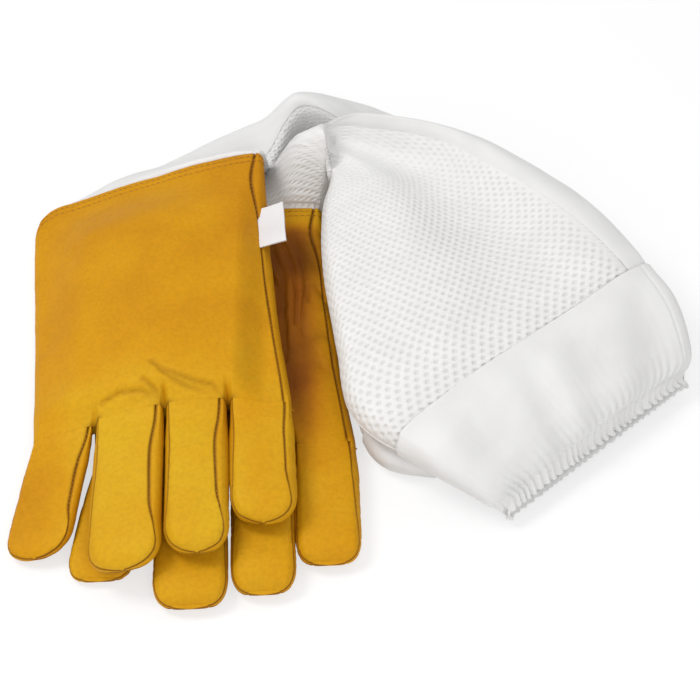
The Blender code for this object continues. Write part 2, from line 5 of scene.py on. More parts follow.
import bpy
import numpy as np
from mathutils import Vector
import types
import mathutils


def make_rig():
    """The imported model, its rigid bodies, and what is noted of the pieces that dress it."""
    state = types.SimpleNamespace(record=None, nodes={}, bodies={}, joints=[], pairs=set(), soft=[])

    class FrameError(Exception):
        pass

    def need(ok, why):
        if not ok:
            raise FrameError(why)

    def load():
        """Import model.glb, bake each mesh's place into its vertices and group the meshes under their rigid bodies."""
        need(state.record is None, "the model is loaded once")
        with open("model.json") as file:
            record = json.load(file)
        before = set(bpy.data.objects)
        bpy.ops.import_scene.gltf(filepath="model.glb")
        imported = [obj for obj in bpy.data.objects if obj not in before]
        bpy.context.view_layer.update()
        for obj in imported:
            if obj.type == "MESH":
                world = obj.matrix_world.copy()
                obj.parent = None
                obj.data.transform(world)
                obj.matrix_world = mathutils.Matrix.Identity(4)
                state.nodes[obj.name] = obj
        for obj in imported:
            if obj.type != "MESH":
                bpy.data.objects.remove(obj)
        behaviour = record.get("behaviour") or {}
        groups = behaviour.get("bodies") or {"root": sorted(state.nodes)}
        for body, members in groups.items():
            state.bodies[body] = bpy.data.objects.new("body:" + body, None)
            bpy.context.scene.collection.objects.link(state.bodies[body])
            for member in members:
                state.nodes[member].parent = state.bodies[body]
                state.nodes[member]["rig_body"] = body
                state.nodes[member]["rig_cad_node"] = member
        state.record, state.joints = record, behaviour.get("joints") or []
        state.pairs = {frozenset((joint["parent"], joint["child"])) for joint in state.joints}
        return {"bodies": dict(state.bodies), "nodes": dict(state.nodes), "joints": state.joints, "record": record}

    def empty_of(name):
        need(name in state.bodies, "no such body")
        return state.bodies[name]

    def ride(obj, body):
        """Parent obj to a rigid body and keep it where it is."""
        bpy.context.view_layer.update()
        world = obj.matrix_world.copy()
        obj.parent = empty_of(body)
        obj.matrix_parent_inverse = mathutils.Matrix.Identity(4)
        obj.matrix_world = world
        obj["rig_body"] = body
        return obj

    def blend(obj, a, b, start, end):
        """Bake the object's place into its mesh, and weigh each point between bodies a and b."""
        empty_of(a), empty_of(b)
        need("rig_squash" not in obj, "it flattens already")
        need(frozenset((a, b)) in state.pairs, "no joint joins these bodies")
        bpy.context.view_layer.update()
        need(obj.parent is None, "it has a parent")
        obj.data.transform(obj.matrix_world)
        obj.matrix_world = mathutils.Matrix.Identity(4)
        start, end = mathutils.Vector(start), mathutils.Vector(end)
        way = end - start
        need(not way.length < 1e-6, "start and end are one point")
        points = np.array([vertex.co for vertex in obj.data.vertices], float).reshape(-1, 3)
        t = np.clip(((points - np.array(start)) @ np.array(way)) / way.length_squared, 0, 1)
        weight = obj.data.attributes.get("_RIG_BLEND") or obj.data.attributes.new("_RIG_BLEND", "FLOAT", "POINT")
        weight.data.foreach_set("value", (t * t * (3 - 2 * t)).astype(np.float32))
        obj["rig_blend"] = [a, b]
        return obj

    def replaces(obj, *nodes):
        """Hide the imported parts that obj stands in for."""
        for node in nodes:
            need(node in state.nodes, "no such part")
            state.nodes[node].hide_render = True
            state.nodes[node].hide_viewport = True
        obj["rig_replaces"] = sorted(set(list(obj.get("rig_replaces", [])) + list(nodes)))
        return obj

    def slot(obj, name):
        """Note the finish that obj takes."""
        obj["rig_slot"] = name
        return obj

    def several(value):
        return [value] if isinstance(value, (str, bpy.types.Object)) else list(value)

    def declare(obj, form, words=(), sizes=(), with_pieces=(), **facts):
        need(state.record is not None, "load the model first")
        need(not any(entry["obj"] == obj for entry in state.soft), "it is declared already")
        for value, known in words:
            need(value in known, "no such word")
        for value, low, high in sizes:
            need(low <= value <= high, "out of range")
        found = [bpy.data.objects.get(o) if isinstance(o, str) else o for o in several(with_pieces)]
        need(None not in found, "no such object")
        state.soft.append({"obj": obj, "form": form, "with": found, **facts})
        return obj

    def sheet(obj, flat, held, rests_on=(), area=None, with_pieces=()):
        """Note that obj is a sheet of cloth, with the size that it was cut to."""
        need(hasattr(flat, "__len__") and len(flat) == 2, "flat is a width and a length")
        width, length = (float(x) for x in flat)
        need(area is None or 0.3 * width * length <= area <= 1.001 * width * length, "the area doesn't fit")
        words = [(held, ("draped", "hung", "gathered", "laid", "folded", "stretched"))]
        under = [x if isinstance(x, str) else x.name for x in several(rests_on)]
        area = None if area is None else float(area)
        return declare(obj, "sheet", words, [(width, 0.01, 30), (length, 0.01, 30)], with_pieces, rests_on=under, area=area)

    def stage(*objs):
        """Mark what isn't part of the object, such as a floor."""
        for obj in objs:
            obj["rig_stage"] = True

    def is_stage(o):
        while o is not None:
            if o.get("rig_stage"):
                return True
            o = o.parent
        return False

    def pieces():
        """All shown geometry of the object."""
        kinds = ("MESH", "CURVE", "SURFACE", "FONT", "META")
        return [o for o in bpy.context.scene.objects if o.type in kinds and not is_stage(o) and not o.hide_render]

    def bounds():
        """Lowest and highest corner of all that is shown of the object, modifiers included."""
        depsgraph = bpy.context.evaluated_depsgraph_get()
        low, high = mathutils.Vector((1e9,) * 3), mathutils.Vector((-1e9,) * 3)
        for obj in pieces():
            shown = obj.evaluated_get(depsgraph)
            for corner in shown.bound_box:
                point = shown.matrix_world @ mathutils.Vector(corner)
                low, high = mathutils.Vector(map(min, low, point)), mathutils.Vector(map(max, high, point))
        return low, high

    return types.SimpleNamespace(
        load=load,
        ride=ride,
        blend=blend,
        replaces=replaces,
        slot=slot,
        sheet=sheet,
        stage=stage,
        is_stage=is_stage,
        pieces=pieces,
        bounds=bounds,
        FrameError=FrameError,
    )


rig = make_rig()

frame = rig.load()
cad_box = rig.bounds()

# The two leather hands. Each is one hide, folded at the index side, sewn up the little finger
# side and turned in at the wrist as a hem. The right one lies palm up under the left one.
MM = 0.001
TURN = 2 * math.pi
ORIGIN = np.array((-2.09, -15.69, -0.3))
LEATHER = 1.2
HEM_WIDTH, HEM_DEPTH, HEM_LENGTH = 106.0, 13.0, 12.0
HAND_LENGTH, HAND_DEPTH = 154.5, 16.0
INDEX_SIDE_THINNING = 0.4
HAND_YAW = math.radians(3)
HEM_CORNER = (16.0, 22.0, 60.0)
SIDE_SEAM = math.radians(60)
SEAM_BOW, BOW_AT, BOW_REACH = math.radians(5), 18.0, 30.0
KNUCKLES = 124.0
HAND_SIDES = (
    (HEM_WIDTH / 2 + 13, HEM_WIDTH / 2, HEM_DEPTH),
    (HEM_WIDTH / 2 + 12, HEM_WIDTH / 2 + 1.5, HAND_DEPTH),
    (HEM_WIDTH / 2 + 10, HEM_WIDTH / 2 + 4.5, HAND_DEPTH),
    (KNUCKLES / 2, KNUCKLES / 2, HAND_DEPTH),
)
HAND_FLAT = 1.8
PRESSED = 0.3
TABLE_GAP = 0.3
PILE, PILE_ACROSS = 17.5, (-64, 18)
THUMB_HUMP, HUMP_ACROSS, HUMP_ALONG = 10.5, (-62, -32, 40, 58), (6, 44, 140, 162)
BUNCH, BUNCH_ACROSS, BUNCH_ALONG = 13.0, (-10, 56), (5, 45)
FINGERS = (
    ("index", 30.5, 65.0, -11.5),
    ("middle", 33.5, 83.0, -2.5),
    ("ring", 29.5, 77.5, -0.8),
    ("pinky", 30.5, 63.0, -0.8),
)
FINGER_DEPTH = 17.0
TIP_LENGTH, SQUARE_TIP, ROUND_TIP, TIP_DOME = 15.0, 0.5, 0.08, 2.4
FINGER_SWELL, FINGER_GAP = 1.7, 0.15
LEAST_DEPTH, TIP_LIFT = 1.55, 0.75
SEAM_ROLL, SEAM_GAP = 0.8, 0.004
SEAM_DARK, SEAM_LINE, NO_EDGE = 0.8, 0.55, 99.0
CROTCH, CROTCH_WIDTH, CROTCH_LINE = 13.0, 3.2, 1.3
HAND_SCARF = 8.0
MID_TONE, GUSSET_PAINTED_SHADE = 0.25, 0.15
LOWEST_POINT, LEAST_FLAT = 0.02 * MM, 10.1 * MM

Glove = namedtuple("Glove", "side wrist floor tip_width body seed")
Rows = namedtuple("Rows", "x y yaw half_width half_depth corner flat thinning floor crest")


def smooth(low, high, value):
    """Step from 0 to 1 between two values, level at both ends."""
    share = np.clip((value - low) / (high - low), 0, 1)
    return share * share * (3 - 2 * share)


def between(edges, value):
    """Step up from 0 to 1 over the first two edges and down again over the last two."""
    return smooth(*edges[:2], value) * (1 - smooth(*edges[2:], value))


def hill(centre, reach, value):
    return 1 - smooth(0, reach, np.abs(value - centre))


def bell(distance, width):
    return np.exp(-(distance / width) ** 2)


def through(points, place):
    """Values at places, counted in points, along a smooth curve through chosen points."""
    points = np.asarray(points, float)
    last = len(points) - 1
    k = np.clip(place.astype(int), 0, last - 1)
    t = (place - k)[:, None]
    a, b, c, d = (points[np.clip(k + i, 0, last)] for i in (-1, 0, 1, 2))
    return b + t / 2 * (c - a + t * (2 * a - 5 * b + 4 * c - d + t * (3 * b - a - 3 * c + d)))


def on_table(x, y):
    return np.zeros_like(x)


def on_right_glove(x, y):
    """Floor under the left glove, over the right glove and the thumbs and down to the table."""
    right, past = x - left_glove.wrist[0], left_glove.wrist[1] - y
    hump = between(HUMP_ACROSS, right) * between(HUMP_ALONG, past)
    bunch = smooth(*BUNCH_ACROSS, right) * (1 - smooth(*BUNCH_ALONG, past))
    return TABLE_GAP + PILE * smooth(*PILE_ACROSS, right) + THUMB_HUMP * hump + BUNCH * bunch


def no_crest(x, across):
    return 0.0


def place(glove, across, along):
    """Layout point from a place across a glove's middle and along from its hem."""
    cos, sin = math.cos(HAND_YAW), math.sin(HAND_YAW)
    return glove.wrist[0] + across * cos + along * sin, glove.wrist[1] + across * sin - along * cos


def skin(rows, angle):
    """Outside of a flattened tube: angle 0 is its right edge and a quarter turn its top."""
    cos, sin = np.cos(angle), np.sin(angle)
    spread = np.sin(np.pi / 2 * np.clip(rows.flat * cos, -1, 1))
    across = (rows.half_width - rows.corner) * spread + rows.corner * cos
    x = rows.x + across * np.cos(rows.yaw)
    y = rows.y + across * np.sin(rows.yaw)
    across = across / rows.half_width
    depth = rows.half_depth * (1 - rows.thinning * smooth(0, 1, -across))
    z = rows.floor(x, y) + np.maximum(PRESSED, depth * (1 + sin))
    return np.stack([x, y, z + np.maximum(sin, 0) * rows.crest(x, across)], -1)


def outward(points, rows, ring):
    """Directions that point out of a tube's skin."""
    ahead = np.gradient(points, axis=0)
    if ring:
        around = np.roll(points, -1, 1) - np.roll(points, 1, 1)
    else:
        around = np.gradient(points, axis=1)
    facing = np.cross(ahead, around)
    step_x, step_y = np.gradient(rows.x[:, 0]), np.gradient(rows.y[:, 0])
    yaw = rows.yaw[:, 0]
    facing *= np.sign(np.cos(yaw) * step_y - np.sin(yaw) * step_x)[:, None, None]
    return facing / (np.linalg.norm(facing, axis=-1, keepdims=True) + 1e-9)


def runs(points, axis):
    """Length along one way of a grid of points, from its first edge."""
    steps = np.linalg.norm(np.diff(points, axis=axis), axis=-1)
    return np.concatenate([np.zeros_like(np.take(steps, [0], axis)), np.cumsum(steps, axis)], axis)


def even_angles(rows, start, end, count):
    """Angles round a cross-section at even steps along its skin, half as long on its upper side."""
    turn = np.linspace(start, end, 2000)
    run = runs(skin(rows, turn[None]), 1)[0]
    run = run + np.cumsum(np.gradient(run) * (np.sin(turn) > 0))
    return np.interp(np.linspace(run[0], run[-1], count), run, turn)[None]


def crumple(across, along, pitch, seed):
    """Smooth random relief from 0 to 1 with hills about a pitch apart."""
    size, cos, sin = 97, 0.94, 0.34
    grid = np.random.default_rng(seed).random((size, size))
    u = across / pitch * cos + along / pitch * sin + 40.3
    v = along / pitch * cos - across / pitch * sin + 40.7
    i, j = np.floor(u).astype(int), np.floor(v).astype(int)
    f, g = smooth(0, 1, u - i), smooth(0, 1, v - j)
    i0, i1, j0, j1 = i % size, (i + 1) % size, j % size, (j + 1) % size
    low = grid[i0, j0] * (1 - f) + grid[i1, j0] * f
    high = grid[i0, j1] * (1 - f) + grid[i1, j1] * f
    return low * (1 - g) + high * g


def crease_lines(across, along, pitch, seed):
    """Random lines with values from 0 to 1 and highest along the middle of each."""
    return 1 - np.abs(2 * crumple(across, along, pitch, seed) - 1)


def groove(line, across, along, width):
    """Depth from 0 to 1 of a crease that follows a line of points."""
    near = np.full(across.shape, 1e9)
    for (a, b), (c, d) in zip(line, line[1:]):
        t = ((across - a) * (c - a) + (along - b) * (d - b)) / ((c - a) ** 2 + (d - b) ** 2)
        t = np.clip(t, 0, 1)
        near = np.minimum(near, np.hypot(across - a - t * (c - a), along - b - t * (d - b)))
    return bell(near, width)


def closed_sheet(outer, inner, ring):
    """Points and faces of a sheet with its own thickness."""
    rows, columns = outer.shape[:2]
    at = np.arange(rows * columns).reshape(rows, columns)
    if ring:
        at = np.append(at, at[:, :1], 1)
    under = at + rows * columns

    def cells(grid):
        return np.stack([grid[:-1, :-1], grid[:-1, 1:], grid[1:, 1:], grid[1:, :-1]], -1).reshape(-1, 4)

    def rim(top, low):
        return np.stack([top[1:], top[:-1], low[:-1], low[1:]], -1)

    faces = [cells(at), cells(under)[:, ::-1], rim(at[0], under[0]), rim(at[-1], under[-1])[:, ::-1]]
    if not ring:
        faces += [rim(at[:, 0], under[:, 0])[:, ::-1], rim(at[:, -1], under[:, -1])]
    return np.concatenate([outer.reshape(-1, 3), inner.reshape(-1, 3)]), np.concatenate(faces)


def mesh_piece(name, points, faces, look, sharp=55, uv=None, **marks):
    """Object at the origin with its place in its mesh; marks are numbers for each point."""
    points = (points + ORIGIN) * MM
    points[:, 2] = np.maximum(points[:, 2], LOWEST_POINT)
    quads = [f for f in faces if len(f) == 4]
    a, b, c, d = (points[np.array(quads)[:, k]] for k in range(4))
    volume = (a * np.cross(b, c)).sum() + (a * np.cross(c, d)).sum()
    if volume < 0:
        faces = [f[::-1] for f in faces]
    mesh = bpy.data.meshes.new(name)
    mesh.from_pydata(points.tolist(), [], [list(map(int, f)) for f in faces])
    for mark, values in marks.items():
        layer = mesh.attributes.new(mark, "FLOAT", "POINT")
        layer.data.foreach_set("value", values.ravel().astype(np.float32))
    if uv is not None:
        corner = np.zeros(len(mesh.loops), np.int32)
        mesh.loops.foreach_get("vertex_index", corner)
        mesh.uv_layers.new(name="cut").data.foreach_set("uv", uv[corner].astype(np.float32).ravel())
    mesh.shade_smooth()
    mesh.set_sharp_from_angle(angle=math.radians(sharp))
    mesh.materials.append(look.material)
    piece = bpy.data.objects.new(name, mesh)
    bpy.context.scene.collection.objects.link(piece)
    return piece


def cut(points, ring=False):
    """Flat width, length and area of what a grid of points was cut from; no side is put under 10.1 mm."""
    if ring:
        points = np.concatenate([points, points[:, :1]], 1)
    wide, long = (max(runs(points, way).max() * MM, LEAST_FLAT) for way in (1, 0))
    a, b = np.diff(points, axis=0)[:, :-1], np.diff(points, axis=1)[:-1]
    area = np.linalg.norm(np.cross(a, b), axis=-1).sum() * MM * MM
    return {"flat": (wide, long), "area": area}


class Look:
    """Material whose nodes feed one shader."""

    def __init__(self, name, roughness, specular):
        self.material = bpy.data.materials.new(name)
        self.material.use_nodes = True
        self.nodes, self.link = self.material.node_tree.nodes, self.material.node_tree.links.new
        self.inputs = self.nodes["Principled BSDF"].inputs
        self.inputs["Roughness"].default_value = roughness
        self.inputs["Specular IOR Level"].default_value = specular

    def feed(self, name, value):
        self.link(value, self.inputs[name])

    def output(self, kind, name):
        return self.nodes.new("ShaderNode" + kind).outputs[name]

    def mark(self, name):
        """Numbers that a mesh holds for each of its points."""
        node = self.nodes.new("ShaderNodeAttribute")
        node.attribute_name = name
        return node.outputs["Fac"]

    def texture(self, kind, coords, **values):
        node = self.nodes.new("ShaderNodeTex" + kind)
        for name, value in values.items():
            node.inputs[name.title()].default_value = value
        self.link(coords, node.inputs["Vector"])
        return node

    def noise(self, coords, **values):
        return self.texture("Noise", coords, **values).outputs["Fac"]

    def ramp(self, value, stops):
        band = self.nodes.new("ShaderNodeValToRGB")
        while len(band.color_ramp.elements) < len(stops):
            band.color_ramp.elements.new(0.5)
        for element, (position, colour) in zip(band.color_ramp.elements, stops):
            element.position, element.color = position, (*colour, 1)
        self.link(value, band.inputs["Fac"])
        return band.outputs["Color"]

    def mottled(self, coords, scale, detail, low, high):
        """Colour that drifts between two colours."""
        return self.ramp(self.noise(coords, scale=scale, detail=detail), ((0.3, low), (0.7, high)))

    def mix(self, factor, low, high, kind="MIX"):
        blend = self.nodes.new("ShaderNodeMix")
        blend.data_type, blend.blend_type = "RGBA", kind
        for value, socket in zip((factor, low, high), (blend.inputs[k] for k in (0, 6, 7))):
            if hasattr(value, "links"):
                self.link(value, socket)
            else:
                socket.default_value = value if isinstance(value, float) else (*value, 1)
        return blend.outputs[2]

    def bump(self, height, strength, distance, under=None):
        relief = self.nodes.new("ShaderNodeBump")
        relief.inputs["Strength"].default_value = strength
        relief.inputs["Distance"].default_value = distance
        self.link(height, relief.inputs["Height"])
        if under is not None:
            self.link(under, relief.inputs["Normal"])
        return relief.outputs["Normal"]


leather = Look("goat_leather", roughness=0.62, specular=0.12)
coords = leather.output("TexCoord", "Object")
mottle = leather.nodes.new("ShaderNodeMath")
mottle.operation = "MULTIPLY_ADD"
mottle.inputs[1].default_value = 0.5
leather.link(leather.noise(coords, scale=26, detail=4, roughness=0.55), mottle.inputs[0])
leather.link(leather.mark("tone"), mottle.inputs[2])
# The tone mark moves the colour along this ramp; its deep brown end is painted shade, on the right palm beside the
# left hand and on the gussets.
dye_and_painted_shade = leather.ramp(mottle.outputs[0], ((0.0, (0.60, 0.345, 0.010)), (0.32, (0.56, 0.258, 0.003)),
                                       (0.6, (0.45, 0.175, 0.002)), (1.0, (0.22, 0.058, 0.002))))
speckle = leather.ramp(leather.noise(coords, scale=520, detail=3),
                       ((0.3, (0.90, 0.90, 0.90)), (0.6, (1.0, 1.0, 1.0))))
dye_and_painted_shade = leather.mix(1.0, dye_and_painted_shade, speckle, "MULTIPLY")
# The seam mark darkens the seam lines and also paints shade into the creases, the palm folds and the finger crotches.
leather.feed("Base Color", leather.mix(leather.mark("seam"), dye_and_painted_shade, (0.11, 0.03, 0.002)))
grain = leather.texture("Voronoi", coords, scale=950)
grain.feature = "DISTANCE_TO_EDGE"
pebble = leather.bump(grain.outputs["Distance"], strength=0.35, distance=0.00025)
fine = leather.noise(coords, scale=300, detail=4, roughness=0.55)
leather.feed("Normal", leather.bump(fine, strength=0.25, distance=0.0006, under=pebble))

right_glove = Glove("right", (-66.5, 100.0), on_table, SQUARE_TIP, "right_glove", 31)
left_glove = Glove("left", (-96.0, 109.5), on_right_glove, ROUND_TIP, "left_hand", 11)
GLOVES = (right_glove, left_glove)


def hand_rows(glove, along):
    """Cross-sections of the leather hand at distances from its hem."""
    left, right, depth = through(HAND_SIDES, along / HAND_LENGTH * (len(HAND_SIDES) - 1)).T[:, :, None]
    x, y = place(glove, (right - left) / 2, along[:, None])
    return Rows(x, y, np.full_like(x, HAND_YAW), (left + right) / 2, depth / 2, depth / 2,
                HAND_FLAT, INDEX_SIDE_THINNING, glove.floor, no_crest)


def finger_rows(glove, number, share):
    """Cross-sections of a finger at shares of its length, from the knuckles to just past the tip."""
    _, width, length, lean = FINGERS[number]
    centre = sum(f[1] for f in FINGERS[:number]) + width / 2 - KNUCKLES / 2
    share = share[:, None]
    along = share * length
    end = np.clip((along - length + TIP_LENGTH) / TIP_LENGTH, 0, 1)
    rounding, blunt = np.sqrt(1 - end ** 2), (1 - end ** 2.5) ** 0.4
    past = (along - length) / (TIP_DOME * glove.tip_width)
    dome = np.sqrt(np.maximum(0.002, 1 - np.clip(past, 0, 1) ** 2))
    from_knuckle = smooth(0, 0.3, share)
    depth = (HAND_DEPTH + (FINGER_DEPTH - HAND_DEPTH) * from_knuckle) / 2
    depth = depth * (1 - INDEX_SIDE_THINNING * smooth(0, 1, -2 * centre / KNUCKLES))
    full_depth = LEAST_DEPTH + (depth - LEAST_DEPTH) * rounding
    full_width = width - FINGER_GAP + FINGER_SWELL * from_knuckle
    half_width = full_width / 2 * (glove.tip_width + (1 - glove.tip_width) * blunt) * dome
    half_depth = full_depth * dome
    corner = np.minimum(half_depth, half_width) * (0.45 + 0.5 * from_knuckle)
    x, y = place(glove, centre + lean * np.maximum(share, 0), HAND_LENGTH + along)
    lift = TIP_LIFT * (depth - full_depth) + full_depth - half_depth
    return Rows(x, y, np.full_like(x, HAND_YAW), half_width, half_depth, corner, HAND_FLAT, 0.0,
                lambda px, py: glove.floor(px, py) + lift, no_crest)


def on_hand(glove, points):
    """Places across a glove's middle and along from its hem."""
    x, y = points[..., 0] - glove.wrist[0], points[..., 1] - glove.wrist[1]
    cos, sin = math.cos(HAND_YAW), math.sin(HAND_YAW)
    return x * cos + y * sin, x * sin - y * cos


def round_corner(glove, points, along):
    """Draws in the corner of a hem on the index side, where the leather rolls over."""
    wide, long, fade = HEM_CORNER
    across, _ = on_hand(glove, points)
    share = np.clip((-across - HAND_SIDES[0][0] + wide) / wide, 0, 0.995)
    drawn = long * (1 - np.sqrt(1 - share ** 2)) * (1 - np.clip(along / fade, 0, 1)) ** 2
    return points + drawn[..., None] * np.array((math.sin(HAND_YAW), -math.cos(HAND_YAW), 0))


def side_seam(along):
    """Angle of a hand's side seam, which bows in a little near the hem."""
    return SIDE_SEAM + SEAM_BOW * hill(BOW_AT, BOW_REACH, along)


def into_fingers(glove, points, angles):
    """Brings the end of a hand down between the fingers, so that it meets them at the knuckles."""
    across, along = on_hand(glove, points)
    floor = glove.floor(points[..., 0], points[..., 1])
    share = smooth(HAND_LENGTH - CROTCH, HAND_LENGTH, along) ** 1.5
    knuckles = [finger_rows(glove, number, np.array([0.0])) for number in range(len(FINGERS))]
    for side in (1, -1):
        half_turn = side * np.linspace(math.pi, 0, 60)[None]
        ring = np.concatenate([skin(knuckle, half_turn)[0] for knuckle in knuckles])
        rise = ring[:, 2] - glove.floor(ring[:, 0], ring[:, 1])
        rise = np.interp(across, on_hand(glove, ring)[0], rise)
        met = points[..., 2] * (1 - share) + (floor + rise) * share
        points[..., 2] = np.where(np.sign(np.sin(angles)) == side, met, points[..., 2])
    return points


def wrinkles(points, seed):
    """How far soft leather sinks in: slow waves, small dents and fine crease lines."""
    u, v = points[..., 0] + 0.6 * points[..., 2], points[..., 1] - 0.3 * points[..., 2]
    waves = 0.9 * crumple(u, v, 34, seed) + 0.35 * crumple(u, v, 12, seed + 1)
    lines = crease_lines(u, v, 9, seed + 2) ** 9
    patches = smooth(0.45, 0.75, crumple(u, v, 26, seed + 3))
    return waves + 0.22 * lines * patches + 0.12 * crumple(u, v, 3.1, seed + 4)


def hem_pucker(across, along, row):
    """How far a hem sinks in where its stitches draw the leather together."""
    return 0.5 * crumple(across, along * 0.3, 9, 5) * np.exp(-row / 7)


def dye_depth_and_painted_shade(glove, points):
    """How deep the colour looks, from 0 to 1: paler to the fingers and deeper by the side seam; below, on the right
    hand, painted shade darkens the palm beside the left hand.
    """
    across, along = on_hand(glove, points)
    if glove is right_glove:
        # Painted shade: the right palm is darkened beside the left hand, most of all inside its side seam, where the
        # left hand shades it.
        shaded = between((8, 20, 110, 190), along) * smooth(-10, 20, across)
        inside_seam = 1 - smooth(38, 52, across)
        return 0.25 + shaded * (0.2 + 0.5 * inside_seam)
    index, side = 1 - smooth(-60, -22, across), smooth(15, 50, across) * (1 - smooth(10, 80, along))
    ends = (0.34 * index + 0.14 * smooth(28, 45, across)) * smooth(130, 190, along)
    return 0.36 - 0.28 * smooth(100, 175, along) + 0.18 * side + ends


def leather_sheet(name, rows, angles, glove, wall, shape=None, extra=None, ring=False, slot="goat_leather"):
    """Sewn leather panel; its long edges turn down into the seams."""
    points = skin(rows, angles)
    if shape is not None:
        points = shape(points, angles)
    facing = outward(points, rows, ring)
    around = runs(points, 1)
    edge = np.full(around.shape, NO_EDGE) if ring else np.minimum(around, around[:, -1:] - around)
    body = smooth(0.2, 4, rows.half_depth)
    roll = SEAM_ROLL * (1 - np.sqrt(1 - np.clip(1 - edge / SEAM_ROLL, 0, 1) ** 2)) * body
    sink = wrinkles(points, glove.seed) * body
    dark = SEAM_DARK * bell(edge, SEAM_LINE)
    if extra is not None:
        more, shade = extra(points)
        sink, dark = sink + more * body, np.maximum(dark, shade)
    outer = points - facing * (sink + roll)[..., None]
    inner = points - facing * (sink + np.maximum(wall, roll + wall / 3))[..., None]
    # The tone mark carries the colour's drift and also painted shade: the right palm beside the left hand and the
    # gusset strips between the fingers are painted darker.
    tone = dye_depth_and_painted_shade(glove, points) - MID_TONE + (GUSSET_PAINTED_SHADE if slot == "gusset_leather" else 0)
    # The seam mark holds the dark seam lines and the painted shade of the creases, palm folds and finger crotches.
    piece = mesh_piece(name, *closed_sheet(outer, inner, ring), leather, seam=np.tile(dark.ravel(), 2),
                       tone=np.tile(tone.ravel(), 2))
    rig.slot(piece, slot)
    return piece, outer


CROTCHES = np.cumsum([f[1] for f in FINGERS])[:-1] - KNUCKLES / 2
LEFT_CREASES = (
    ((-28, 148.5), (-20, 146.7), (-9, 148.5), (-2.5, 152), (1, 153.5)),
    ((-29, 153.5), (-18, 153.3), (-8.5, 152.7), (-2, 153.5)),
    ((-8, 143.5), (-3, 148.5), (1, 152.5)),
    ((-4, 134), (0.5, 139.2), (9.5, 144.5), (17, 147.5), (24.5, 149.5), (29, 153)),
    ((0.5, 140.5), (5, 145), (12.5, 149.5), (20, 152), (28, 153)),
)
RIGHT_CREASES = (
    ((20, 14), (26, 30), (30, 48), (31, 70)),
    ((27, 18), (33, 30), (36, 44), (37, 62), (36, 80)),
    ((34, 20), (40, 33), (42, 50), (43, 66)),
    ((22, 40), (28, 56), (31, 80), (30, 104)),
)
CREASE_WIDTH, CREASE_END = 1.1, (149, 154)
PALM_FOLDS_ACROSS, PALM_FOLDS_ALONG = (4, 20), (6, 22, 80, 135)
STITCH_ROWS, STITCH_SINK, STITCH_WIDTH = (2.6, 6.0), 0.4, 0.7
HEM_EDGE_SINK, HEM_EDGE_WIDTH = 0.8, 0.9


def sewn_and_creased(glove, points, station, angles):
    """Sink and shade of a hand's stitched hem, its creases and the arches at its finger crotches."""
    across, along = on_hand(glove, points)
    sink = sum(STITCH_SINK * bell(station - row, STITCH_WIDTH) for row in STITCH_ROWS)
    sink = sink + HEM_EDGE_SINK * bell(station, HEM_EDGE_WIDTH) + hem_pucker(across, along, station)
    top = np.maximum(np.sin(angles), 0)
    lines = LEFT_CREASES if glove is left_glove else RIGHT_CREASES
    deep = sum(groove(line, across, along, CREASE_WIDTH) for line in lines)
    deep = deep * (1 - smooth(*CREASE_END, station))
    if glove is right_glove:
        folded = smooth(*PALM_FOLDS_ACROSS, across) * between(PALM_FOLDS_ALONG, along)
        deep = deep + 1.1 * folded * crease_lines(across, along * 0.4, 9, 41) ** 3
    # Painted shade: arches darken the hand's end at the finger crotches, and the creases and palm folds are darkened
    # along their lines.
    arch = sum(bell(across - crotch, CROTCH_WIDTH) for crotch in CROTCHES)
    shade = arch * bell(HAND_LENGTH - station, CROTCH_LINE)
    return sink + 1.3 * top * np.minimum(deep, 1.2), 0.8 * shade + 0.3 * top * np.minimum(deep, 1)


for glove in GLOVES:
    along = np.concatenate([np.linspace(0, HEM_LENGTH, 25)[:-1], np.linspace(HEM_LENGTH, HAND_LENGTH, 130)])
    station = along[:, None]
    rows = hand_rows(glove, along)
    angles = even_angles(hand_rows(glove, np.array([HAND_LENGTH / 2])), SIDE_SEAM + SEAM_GAP,
                         SIDE_SEAM + TURN - SEAM_GAP, 300)
    angles = angles + (side_seam(along) - SIDE_SEAM)[:, None]
    scarf = LEATHER * (1 - 0.92 * smooth(HAND_LENGTH - HAND_SCARF, HAND_LENGTH, station))
    hand, hand_skin = leather_sheet(
        f"{glove.side}_hand_leather", rows, angles, glove, scarf,
        lambda points, turn: into_fingers(glove, round_corner(glove, points, station), turn),
        lambda points: sewn_and_creased(glove, points, station, angles))
    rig.ride(hand, glove.body)
    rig.replaces(hand, f"{glove.side}_hand_wrap", f"{glove.side}_wrist_hem")
    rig.sheet(hand, held="laid", rests_on=["right_hand_leather"] if glove is left_glove else (),
             **cut(hand_skin))

# The finger panels: a back and a palm for each finger, cut in one with the hand, and narrow
# gusset strips of the same leather sewn in between the fingers.
GUSSET_LOW = math.radians(-40)
SEAM_AT, SEAM_EASE = (0.0, 0.3, 0.75, 0.93, 1.0), 0.12
RIGHT_SEAMS = {"left": (68, 72, 68, 36, 8), "right": (50, 40, 34, 24, 14)}
LEFT_SEAMS = {"left": (50, 46, 36, 18, 8), "right": (46, 36, 30, 24, 14)}
LITTLE_SEAMS = {"left": (70, 66, 64, 36, 8), "right": (70, 55, 38, 24, 14)}
INDEX_SEAMS = {"left": (8, 24, 28, 18, 8), "right": (8, 24, 28, 20, 14)}
PANEL_GAP, SCARF, BEND = 0.006, 6.0, 20.0
KNUCKLE_AHEAD = np.array((math.sin(HAND_YAW), -math.cos(HAND_YAW), 0))
finger_seams = {}


